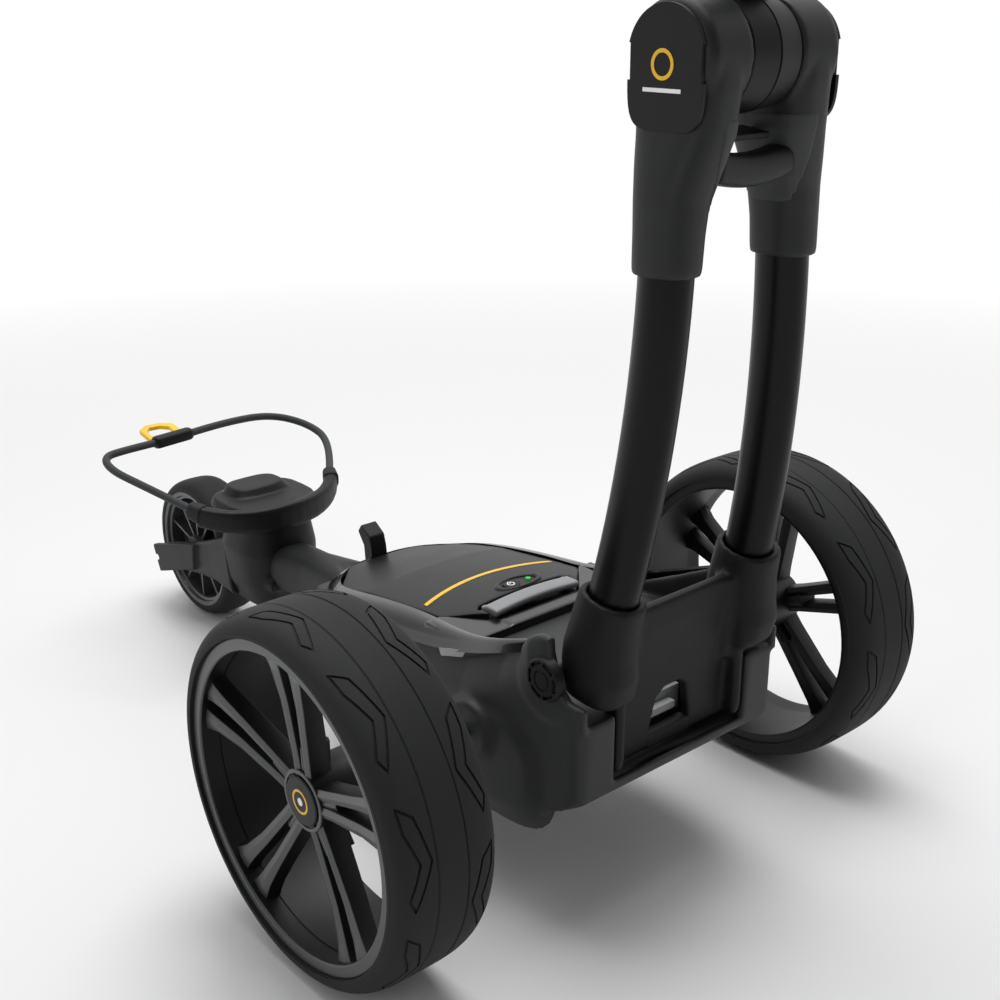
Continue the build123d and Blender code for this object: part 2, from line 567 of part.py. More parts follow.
# ---------------------------------------------------------------- upper arm
def arm_place(along: float, across: float = ARM_OFFSET):
    """A place on the leaning arm: distance along it and in front of the pivot line."""
    lean = radians(ARM_LEAN)
    y = HEAD_Y - along * sin(lean) + across * cos(lean)
    z = HEAD_Z + along * cos(lean) + across * sin(lean)
    return Pos(0, y, z) * Rot(ARM_LEAN, 0, 0)


def make_arm() -> None:
    """Pivot barrel, column, bag support, handle, grips and display."""
    barrel = bar_x(BARREL_R, (-BARREL_HALF, BARREL_HALF), HEAD_Y, HEAD_Z)
    barrel -= bar_x(HEAD_PIN_R + FIT, (-BARREL_HALF - 1, BARREL_HALF + 1), HEAD_Y, HEAD_Z)
    put("pivot_barrel", barrel)
    column = arm_place(ARM_LENGTH / 2) * Box(2 * ARM_HALF_X, 2 * ARM_HALF_Y, ARM_LENGTH)
    column = fillet(column.edges().filter_by(lambda edge: edge.length > ARM_LENGTH - 1), 7)
    column -= bar_x(BARREL_R, (-BARREL_HALF - 1, BARREL_HALF + 1), HEAD_Y, HEAD_Z)
    put("upper_column", column)
    bracket = arm_place(110, ARM_OFFSET + ARM_HALF_Y + 16) * Box(120, 32, 22)
    bite = arm_place(110, ARM_OFFSET + ARM_HALF_Y + 95) * Cylinder(78, 40)
    support = bracket - bite
    put("upper_bag_support", support)
    pads = []
    for side in (-1, 1):
        pads.append(arm_place(110, ARM_OFFSET + ARM_HALF_Y + 35) * Pos(side * 54, 0, 0) * Box(10, 6, 22))
    put("support_pads", pads[0] + pads[1])
    top = ARM_LENGTH + 14
    bar = arm_place(top) * Rot(0, 90, 0) * Cylinder(GRIP_R - 3, 2 * (HANDLE_HALF + GRIP_LENGTH / 2))
    housing = arm_place(top) * Box(76, 44, 56)
    housing = fillet(housing.edges(), 6)
    screen = arm_place(top + 6, ARM_OFFSET - 22) * Box(48, 4, 32)
    dial_room = arm_place(top + 28) * Cylinder(13 + GAP, 12)
    button_room = arm_place(top - 21, ARM_OFFSET - 22) * Rot(90, 0, 0) * Cylinder(5 + GAP, 12)
    put("handle_bar", bar - housing)
    put("display_housing", housing - screen - dial_room - button_room - column)
    put("display_lens", screen)
    dial = arm_place(top + 29) * Cylinder(13, 12)
    for index in range(12):
        place = arm_place(top + 29) * Rot(0, 0, 30 * index) * Pos(13, 0, 0)
        dial -= place * Cylinder(1, 14)
    put("speed_dial", dial)
    button = arm_place(top - 21, ARM_OFFSET - 21) * Rot(90, 0, 0) * Cylinder(5, 6)
    put("handle_button", button)
    place = arm_place(top) * Pos(HANDLE_HALF, 0, 0) * Rot(0, 90, 0)
    grip = place * Cylinder(GRIP_R, GRIP_LENGTH - 10)
    grip -= place * Cylinder(GRIP_R - 3, GRIP_LENGTH + 10)
    put("hand_grips", both(grip))


# ---------------------------------------------------------------- battery
def make_battery() -> None:
    """Case, lid, handle, button, light and cells."""
    seam = [(46, 198), (114, 194), (190, 184), (280, 164)]
    lower = [(280, BATTERY_BASE_Z), (46, BATTERY_BASE_Z)] + seam
    upper = seam + [(280, 179), (190, 198), (114, 208), (62, 213), (46, 212.5)]
    half = BATTERY_HALF + 1
    case = side_plate(lower, (-half, half)) & plan_plate(bay_plan(-3), (0, 300), 6)
    room = block((-60, 60), (74, 240), (BATTERY_BASE_Z + 4, 174))
    plug_room = block((-20, 20), (76, 90), (BATTERY_BASE_Z - 1, BATTERY_BASE_Z + 12))
    put("battery_case", case - room - plug_room)
    lid = side_plate(upper, (-half, half)) & plan_plate(bay_plan(0), (0, 300), 8)
    handle_room = block((-50, 50), (38, 71), (203, 230)) + both(bar_x(2.5 + FIT, (46, 54), 65.5, 210))
    button_room = Pos(0, 84, 206) * Cylinder(7 + GAP, 24)
    light_room = Pos(20, 84, 206) * Cylinder(2.5, 24)
    put("battery_lid", lid - handle_room - button_room - light_room)
    handle = block((-48, 48), (50, 63), (206, 214)) + both(block((40, 48), (50, 69), (206, 214)))
    pivot = both(bar_x(2.5, (46, 53), 65.5, 210))
    put("battery_handle", handle + pivot)
    put("battery_button", Pos(0, 84, 209) * Cylinder(7, 5))
    put("battery_light", Pos(20, 84, 208) * Cylinder(2.5, 8))
    cells = None
    for row in range(6):
        for column in range(3):
            cell = Pos(-40 + 40 * column, 90 + 27 * row, BATTERY_BASE_Z + 31) * Cylinder(13, 46)
            cells = cell if cells is None else cells + cell
    put("battery_cells", cells)


make_rear_wheels()
make_drive()
make_chassis()
make_front()
make_frame()
make_arm()
make_battery()
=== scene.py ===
import logging
from dataclasses import dataclass
from enum import Enum
from math import atan2, copysign, cos, pi, radians, sin
from typing import Iterable, Optional, Sequence

import bmesh
import bpy
from mathutils import Matrix, Vector


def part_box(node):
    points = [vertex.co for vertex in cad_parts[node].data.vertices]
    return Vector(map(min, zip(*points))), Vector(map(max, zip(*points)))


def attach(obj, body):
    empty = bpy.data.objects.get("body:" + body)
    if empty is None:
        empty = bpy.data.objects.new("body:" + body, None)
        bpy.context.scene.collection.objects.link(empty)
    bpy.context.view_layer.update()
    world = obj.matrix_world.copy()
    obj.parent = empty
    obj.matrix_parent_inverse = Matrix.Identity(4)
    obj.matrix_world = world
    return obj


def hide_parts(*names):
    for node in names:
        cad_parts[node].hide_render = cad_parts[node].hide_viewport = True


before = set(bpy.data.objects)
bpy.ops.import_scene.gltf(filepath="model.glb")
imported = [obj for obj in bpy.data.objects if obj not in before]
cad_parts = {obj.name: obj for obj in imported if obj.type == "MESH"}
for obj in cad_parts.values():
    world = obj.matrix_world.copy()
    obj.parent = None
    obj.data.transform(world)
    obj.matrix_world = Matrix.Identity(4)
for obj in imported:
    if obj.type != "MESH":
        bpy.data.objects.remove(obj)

LOG = logging.getLogger("trolley")
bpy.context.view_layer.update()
MM = 0.001
AXLE_Y = (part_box("axle_shaft")[0].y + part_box("axle_shaft")[1].y) / 2
TO_ROW = Matrix.Translation((0, AXLE_Y, 0)) @ Matrix.Scale(MM, 4)
FROM_ROW = TO_ROW.inverted()

Point = tuple[float, float, float]
Mesh = bmesh.types.BMesh
PIVOT = (-86.0, 224.0)
HEAD = (-142.0, 658.0)


class Side(Enum):
    """Which side of the trolley a handed piece is on."""

    LEFT = -1
    RIGHT = 1

    @property
    def word(self) -> str:
        """The side's name in lower case.

        Returns:
            The lower-case word.
        """
        return self.name.lower()


# ------------------------------------------------------------------ finishes
def linear(code: str) -> tuple[float, float, float, float]:
    """Turn an sRGB hex value into linear colour.

    Args:
        code: six hex digits after a hash sign.

    Returns:
        Linear red, green, blue and an alpha of one.
    """
    parts = [int(code[i:i + 2], 16) / 255 for i in (1, 3, 5)]
    out = [c / 12.92 if c <= 0.04045 else ((c + 0.055) / 1.055) ** 2.4 for c in parts]
    return (*out, 1.0)


def add_node(tree: bpy.types.NodeTree, kind: str, settings: dict, links: dict) -> bpy.types.Node:
    """Add one shader node with its settings and incoming links.

    Args:
        tree: the material's node tree.
        kind: the node's type name.
        settings: attribute or input values by name.
        links: output sockets by the name of the input that they feed.

    Returns:
        The new node.
    """
    node = tree.nodes.new(kind)
    for name, value in settings.items():
        if hasattr(node, name):
            setattr(node, name, value)
        else:
            node.inputs[name].default_value = value
    for name, socket in links.items():
        tree.links.new(socket, node.inputs[name])
    return node


@dataclass(frozen=True)
class Finish:
    """One real finish: its colour, gloss and the fine grain left by how it was made."""

    name: str
    colour: str
    roughness: float
    metallic: float = 0.0
    ior: float = 1.5
    shine: float = 0.5
    coat: float = 0.0
    grain_mm: float = 0.8
    grain_height: float = 0.0
    mottle: float = 0.08
    blotch_mm: float = 40.0
    glow: float = 0.0

    def build(self) -> bpy.types.Material:
        """Make the node material, once for each finish.

        Returns:
            The material.
        """
        made = bpy.data.materials.get(self.name)
        if made:
            return made
        made = bpy.data.materials.new(self.name)
        made.use_nodes = True
        tree = made.node_tree
        tree.nodes.clear()
        place = add_node(tree, "ShaderNodeTexCoord", {}, {})
        blotch = add_node(tree, "ShaderNodeTexNoise", {"Scale": 1 / (self.blotch_mm * MM), "Detail": 4.0},
                          {"Vector": place.outputs["Object"]})
        base = linear(self.colour)
        dark = tuple(c * (1 - self.mottle) for c in base[:3]) + (1.0,)
        light = tuple(min(1.0, c * (1 + self.mottle)) for c in base[:3]) + (1.0,)
        ramp = add_node(tree, "ShaderNodeValToRGB", {}, {"Fac": blotch.outputs["Fac"]})
        ramp.color_ramp.elements[0].color = dark
        ramp.color_ramp.elements[1].color = light
        ramp.color_ramp.elements[0].position = 0.35
        ramp.color_ramp.elements[1].position = 0.65
        gloss = add_node(tree, "ShaderNodeMapRange",
                         {"To Min": self.roughness - 0.05, "To Max": min(1.0, self.roughness + 0.05)},
                         {"Value": blotch.outputs["Fac"]})
        shader = add_node(tree, "ShaderNodeBsdfPrincipled",
                          {"Metallic": self.metallic, "IOR": self.ior, "Coat Weight": self.coat,
                           "Specular IOR Level": self.shine},
                          {"Base Color": ramp.outputs["Color"], "Roughness": gloss.outputs["Result"]})
        if self.glow:
            shader.inputs["Emission Color"].default_value = base
            shader.inputs["Emission Strength"].default_value = self.glow
        if self.grain_height:
            grain = self.grain(tree, place.outputs["Object"])
            bump = add_node(tree, "ShaderNodeBump", {"Strength": self.grain_height, "Distance": 0.0002},
                            {"Height": grain})
            tree.links.new(bump.outputs["Normal"], shader.inputs["Normal"])
        add_node(tree, "ShaderNodeOutputMaterial", {}, {"Surface": shader.outputs["BSDF"]})
        return made

    def grain(self, tree: bpy.types.NodeTree, place: bpy.types.NodeSocket) -> bpy.types.NodeSocket:
        """The fine surface height, moulded spark-eroded grain by default.

        Args:
            tree: the material's node tree.
            place: the object coordinates.

        Returns:
            The height socket.
        """
        noise = add_node(tree, "ShaderNodeTexNoise", {"Scale": 1 / (self.grain_mm * MM), "Detail": 2.0},
                         {"Vector": place})
        return noise.outputs["Fac"]


@dataclass(frozen=True)
class Braid(Finish):
    """Woven sleeve over elastic: fine diagonal plaits."""

    def grain(self, tree: bpy.types.NodeTree, place: bpy.types.NodeSocket) -> bpy.types.NodeSocket:
        """Crossing diagonal bands at the plait's spacing.

        Args:
            tree: the material's node tree.
            place: the object coordinates.

        Returns:
            The height socket.
        """
        wave = add_node(tree, "ShaderNodeTexWave", {"Scale": 0.3 / (self.grain_mm * MM), "Distortion": 0.6},
                        {"Vector": place})
        return wave.outputs["Fac"]


# Textured ABS from a spark-eroded mould: dark, soft sheen, barely visible grain.
CHARCOAL = Finish("moulded_charcoal_abs", "#1d1e1f", 0.52, shine=0.35, grain_mm=0.9, grain_height=0.25)
DARK = Finish("moulded_black_abs", "#0d0e0e", 0.5, shine=0.3, grain_mm=0.9, grain_height=0.25)
# Lighter copy of the charcoal ABS for the tub: painted light that brightens sides lying in the shadow of the
# wheels.
SHELL_PAINTED_LIGHT = Finish("moulded_abs_painted_light", "#2a2b2c", 0.52, shine=0.4, grain_mm=0.9, grain_height=0.25)
# Darker copy of the same ABS for the yoke and its sill: painted shade that dims their rear-facing panel.
YOKE_PAINTED_SHADE = Finish("moulded_abs_painted_shade", "#111212", 0.55, shine=0.25, grain_mm=0.9, grain_height=0.25)
LID = Finish("moulded_battery_lid_abs", "#0f1010", 0.42, shine=0.28, grain_mm=0.8, grain_height=0.3)
GLOSSY = Finish("polished_black_abs", "#070808", 0.22, coat=0.4, mottle=0.05)
# Natural-rubber tread compound: matte, slightly dusty.
TREAD = Finish("tread_rubber", "#161718", 0.8, grain_mm=1.2, grain_height=0.5, mottle=0.1, blotch_mm=25)
RUBBER = Finish("moulded_grip_rubber", "#0f1011", 0.72, grain_mm=1.0, grain_height=0.5)
# Graphite lacquer on moulded nylon rims.
RIM = Finish("graphite_lacquered_nylon", "#444547", 0.38, coat=0.15, grain_mm=1.4, grain_height=0.06)
# Near-black painted shade for the rim's inward-facing faces and for a sheet inside its barrel, where shade
# falls inside the wheel.
RIM_PAINTED_SHADE = Finish("rim_painted_shade", "#050505", 0.5, grain_mm=1.0, grain_height=0.1)
TUBE = Finish("satin_black_anodised_aluminium", "#040405", 0.34, shine=0.2, grain_mm=0.7, grain_height=0.05)
SOFT_GREY = Finish("grey_soft_touch_overmould", "#343537", 0.66, grain_mm=1.0, grain_height=0.2)
HANDLE_GREY = Finish("mid_grey_abs", "#8b8c8e", 0.5, grain_mm=0.8, grain_height=0.25)
YELLOW = Finish("printed_yellow_ink", "#f0bd22", 0.4, mottle=0.04)
YELLOW_ABS = Finish("yellow_abs", "#f5c414", 0.35, grain_mm=1.0, grain_height=0.1)
WHITE_INK = Finish("printed_white_ink", "#f2f2f2", 0.4, mottle=0.02)
SILVER = Finish("printed_silver_foil", "#a9aaac", 0.35, metallic=0.3, mottle=0.04)
GREEN = Finish("green_light_pipe", "#17a03a", 0.3, glow=0.4)
CORD = Braid("braided_polyester_over_elastic", "#333538", 0.7, grain_mm=1.4, grain_height=0.6)
STEEL = Finish("turned_steel", "#a9abad", 0.3, metallic=1.0, grain_mm=1.0, grain_height=0.1)
CAST = Finish("die_cast_aluminium", "#9a9c9e", 0.5, metallic=1.0, grain_mm=2.0, grain_height=0.3)
BOARD = Finish("green_solder_mask", "#0f4d23", 0.4, mottle=0.2, blotch_mm=6)
CELL = Finish("blue_heat_shrink_sleeve", "#1f4f96", 0.3, mottle=0.05)
DISPLAY = Finish("smoked_acrylic_window", "#07080a", 0.08, coat=0.6, mottle=0.02)


# ------------------------------------------------------------------ mesh making
@dataclass(frozen=True)
class Section:
    """One rounded cross-section of a lofted shell, in millimetres from the rear axle's floor point."""

    centre: Point
    half: tuple[float, float]
    square: float = 2.0
    normal: Point = (0, 0, 1)
    across: Point = (1, 0, 0)

    def matrix(self) -> Matrix:
        """The placing of the section's flat outline.

        Returns:
            The placing matrix.
        """
        normal = Vector(self.normal).normalized()
        up = normal.cross(Vector(self.across)).normalized()
        turn = Matrix((up.cross(normal), up, normal)).transposed().to_4x4()
        return Matrix.Translation(self.centre) @ turn


def clamped(value: float) -> float:
    """A share held between nothing and the whole.

    Args:
        value: the number that is changed.

    Returns:
        The share, from 0 to 1.
    """
    return min(1.0, max(0.0, value))


def bulged(value: float, power: float) -> float:
    """A signed power, which squares off a circle's coordinate.

    Args:
        value: the number that is changed.
        power: how squared off the section is; 1 leaves it round.

    Returns:
        The changed number, with its old sign.
    """
    return copysign(abs(value) ** power, value)


def loft(sections: Sequence[Section], segments: int = 48) -> Mesh:
    """A closed shell through several rounded sections.

    Args:
        sections: the sections in order.
        segments: points round each section.

    Returns:
        The closed mesh.
    """
    bm = bmesh.new()
    rings = []
    for section in sections:
        made = bmesh.ops.create_circle(bm, cap_ends=False, radius=1.0, segments=segments)["verts"]
        power = 2 / section.square
        for vert in made:
            vert.co.x = bulged(vert.co.x, power) * section.half[0]
            vert.co.y = bulged(vert.co.y, power) * section.half[1]
        rings.append({edge for vert in made for edge in vert.link_edges})
        bmesh.ops.transform(bm, matrix=section.matrix(), verts=made)
    for low, high in zip(rings, rings[1:]):
        bmesh.ops.bridge_loops(bm, edges=list(low | high))
    bmesh.ops.holes_fill(bm, edges=[edge for edge in bm.edges if edge.is_boundary], sides=0)
    bmesh.ops.recalc_face_normals(bm, faces=bm.faces)
    return bm


def stack(rows: Sequence[tuple], segments: int = 48, normal: Point = (0, 0, 1),
          across: Point = (1, 0, 0)) -> Mesh:
    """A closed shell through sections that all face one way.

    Args:
        rows: each section's centre, half sizes and squareness, in order.
        segments: points round each section.
        normal: the way that the sections face.
        across: the direction of their first half size.

    Returns:
        The closed mesh.
    """
    return loft([Section(*row, normal, across) for row in rows], segments)


def block(low: Point, high: Point) -> Mesh:
    """A box between two corners.

    Args:
        low: the lowest corner.
        high: the highest corner.

    Returns:
        The closed mesh.
    """
    bm = bmesh.new()
    size = Vector(high) - Vector(low)
    middle = (Vector(high) + Vector(low)) / 2
    matrix = Matrix.Translation(middle) @ Matrix.Diagonal((*size, 1))
    bmesh.ops.create_cube(bm, size=1.0, matrix=matrix)
    return bm


def rod(start: Point, end: Point, radius: float, far: Optional[float] = None,
        segments: int = 64) -> Mesh:
    """A round bar or cone between two points.

    Args:
        start: centre of the first end.
        end: centre of the second end.
        radius: radius at the first end.
        far: radius at the second end, the same if left out.
        segments: points round it.

    Returns:
        The closed mesh.
    """
    bm = bmesh.new()
    line = Vector(end) - Vector(start)
    turn = line.to_track_quat("Z", "Y").to_matrix().to_4x4()
    matrix = Matrix.Translation((Vector(start) + Vector(end)) / 2) @ turn
    bmesh.ops.create_cone(bm, cap_ends=True, segments=segments, radius1=radius,
                          radius2=radius if far is None else far, depth=line.length, matrix=matrix)
    return bm


def ball(centre: Point, half: Point) -> Mesh:
    """An ellipsoid.

    Args:
        centre: its middle.
        half: its half sizes.

    Returns:
        The closed mesh.
    """
    bm = bmesh.new()
    matrix = Matrix.Translation(centre) @ Matrix.Diagonal((*half, 1))
    bmesh.ops.create_uvsphere(bm, u_segments=48, v_segments=32, radius=1.0, matrix=matrix)
    return bm


def plate(outline: Sequence[Point], push: Point) -> Mesh:
    """A flat outline pushed along a direction.

    Args:
        outline: its corner points in order.
        push: how far and which way it is extruded.

    Returns:
        The closed mesh.
    """
    bm = bmesh.new()
    face = bm.faces.new([bm.verts.new(point) for point in outline])
    made = bmesh.ops.extrude_face_region(bm, geom=[face])["geom"]
    lifted = [item for item in made if isinstance(item, bmesh.types.BMVert)]
    bmesh.ops.translate(bm, vec=Vector(push), verts=lifted)
    bmesh.ops.recalc_face_normals(bm, faces=bm.faces)
    return bm


def lathe(profile: Sequence[tuple[float, float]], centre: Point, steps: int = 128) -> Mesh:
    """A closed outline of (x, radius) points turned about an axis along X.

    Args:
        profile: the outline, in order round it.
        centre: a point on the axis.
        steps: divisions of the full turn.

    Returns:
        The closed mesh.
    """
    bm = bmesh.new()
    verts = [bm.verts.new((x, 0, radius)) for x, radius in profile]
    edges = [bm.edges.new((a, b)) for a, b in zip(verts, verts[1:] + verts[:1])]
    bmesh.ops.spin(bm, geom=verts + edges, cent=(0, 0, 0), axis=(1, 0, 0), angle=2 * pi, steps=steps,
                   use_merge=True)
    bmesh.ops.remove_doubles(bm, verts=bm.verts, dist=0.001)
    bmesh.ops.recalc_face_normals(bm, faces=bm.faces)
    bmesh.ops.translate(bm, vec=Vector(centre), verts=bm.verts)
    return bm


def mirrored(bm: Mesh) -> Mesh:
    """The same shape on the other side of the middle plane.

    Args:
        bm: the mesh, which is changed or freed.

    Returns:
        The mesh, in millimetres.
    """
    other = bm.copy()
    bmesh.ops.scale(other, vec=(-1, 1, 1), verts=other.verts)
    bmesh.ops.reverse_faces(other, faces=other.faces)
    return other


def joined(parts: Iterable[Mesh]) -> Mesh:
    """Several meshes put in one, and the originals freed.

    Args:
        parts: the meshes.

    Returns:
        One mesh that holds them all.
    """
    whole = bmesh.new()
    for part in parts:
        mesh = bpy.data.meshes.new("part")
        part.to_mesh(mesh)
        part.free()
        whole.from_mesh(mesh)
        bpy.data.meshes.remove(mesh)
    return whole


def from_cad(node: str) -> Mesh:
    """A merged copy of a frame piece's mesh, in millimetres.

    Args:
        node: the frame piece.

    Returns:
        The copy.
    """
    bm = bmesh.new()
    bm.from_mesh(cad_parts[node].data)
    bmesh.ops.transform(bm, matrix=FROM_ROW, verts=bm.verts)
    bmesh.ops.remove_doubles(bm, verts=bm.verts, dist=0.002)
    return bm


def baked(bm: Mesh, steps: Sequence[tuple[str, dict]]) -> Mesh:
    """Run modifiers on a mesh and return the result.

    Args:
        bm: the mesh, which is freed.
        steps: modifier types with their settings, in order.

    Returns:
        The changed mesh.
    """
    mesh = bpy.data.meshes.new("stage")
    bm.to_mesh(mesh)
    bm.free()
    holder = bpy.data.objects.new("stage", mesh)
    bpy.context.scene.collection.objects.link(holder)
    for kind, settings in steps:
        modifier = holder.modifiers.new(kind.lower(), kind)
        for name, value in settings.items():
            setattr(modifier, name, value)
    view = bpy.context.evaluated_depsgraph_get()
    result = bpy.data.meshes.new_from_object(holder.evaluated_get(view), depsgraph=view)
    out = bmesh.new()
    out.from_mesh(result)
    bpy.data.objects.remove(holder)
    bpy.data.meshes.remove(result)
    return out


def carved(bm: Mesh, cutters: Sequence[Mesh]) -> Mesh:
    """Cut shapes out of a mesh.

    Args:
        bm: the mesh, which is freed.
        cutters: the shapes to take away, which are freed.

    Returns:
        What is left.
    """
    mesh = bpy.data.meshes.new("cutter")
    tool_bm = joined(cutters)
    tool_bm.to_mesh(mesh)
    tool_bm.free()
    tool = bpy.data.objects.new("cutter", mesh)
    bpy.context.scene.collection.objects.link(tool)
    out = baked(bm, [("BOOLEAN", {"operation": "DIFFERENCE", "solver": "EXACT", "object": tool,
                                  "use_self": True})])
    bpy.data.objects.remove(tool)
    return out


def moulded(parts: Sequence[Mesh], cutters: Sequence[Mesh] = (),
            voxel: float = 2.2, rounds: int = 8) -> Mesh:
    """Blend overlapping shapes into one moulding with soft edges.

    Args:
        parts: the overlapping closed shapes.
        cutters: shapes to take away after they are blended.
        voxel: the grid of the blend, in millimetres.
        rounds: how often the surface is relaxed.

    Returns:
        The moulding.
    """
    remesh = ("REMESH", {"mode": "VOXEL", "voxel_size": voxel})
    relax = ("SMOOTH", {"factor": 0.5, "iterations": rounds})
    body = baked(joined(parts), [remesh])
    if cutters:
        body = carved(body, cutters)
        body = baked(body, [remesh])
    return baked(body, [relax])


def place(name: str, bm: Mesh, finish: Finish, slot: str, body: str,
          replaces: Sequence[str] = (), bevel: float = 0.0, angle: float = 32.0) -> bpy.types.Object:
    """Put a finished mesh in the scene as one piece.

    Args:
        name: the piece's name.
        bm: its mesh in millimetres, which is freed.
        finish: its finish.
        slot: the record's material slot; not used.
        body: the moving body that it rides on.
        replaces: frame pieces that it stands for.
        bevel: width of rounded edges in millimetres.
        angle: edges sharper than this stay crisp.

    Returns:
        The new object.
    """
    bmesh.ops.transform(bm, matrix=TO_ROW, verts=bm.verts)
    mesh = bpy.data.meshes.new(name)
    bm.to_mesh(mesh)
    bm.free()
    mesh.materials.append(finish.build())
    for face in mesh.polygons:
        face.use_smooth = True
    piece = bpy.data.objects.new(name, mesh)
    bpy.context.scene.collection.objects.link(piece)
    if bevel:
        soft = piece.modifiers.new("edges", "BEVEL")
        soft.width = bevel * MM
        soft.segments = 2
        soft.limit_method = "ANGLE"
        soft.angle_limit = radians(angle)
    mesh.set_sharp_from_angle(angle=radians(angle))
    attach(piece, body)
    if replaces:
        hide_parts(*replaces)
    LOG.info("%s: %d faces", name, len(mesh.polygons))
    return piece


def dress(finish: Finish, *nodes: str) -> None:
    """Give frame pieces a finish.

    Args:
        finish: the finish.
        nodes: the frame pieces' names.
    """
    for node in nodes:
        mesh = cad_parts[node].data
        mesh.materials.clear()
        mesh.materials.append(finish.build())
        for face in mesh.polygons:
            face.use_smooth = False


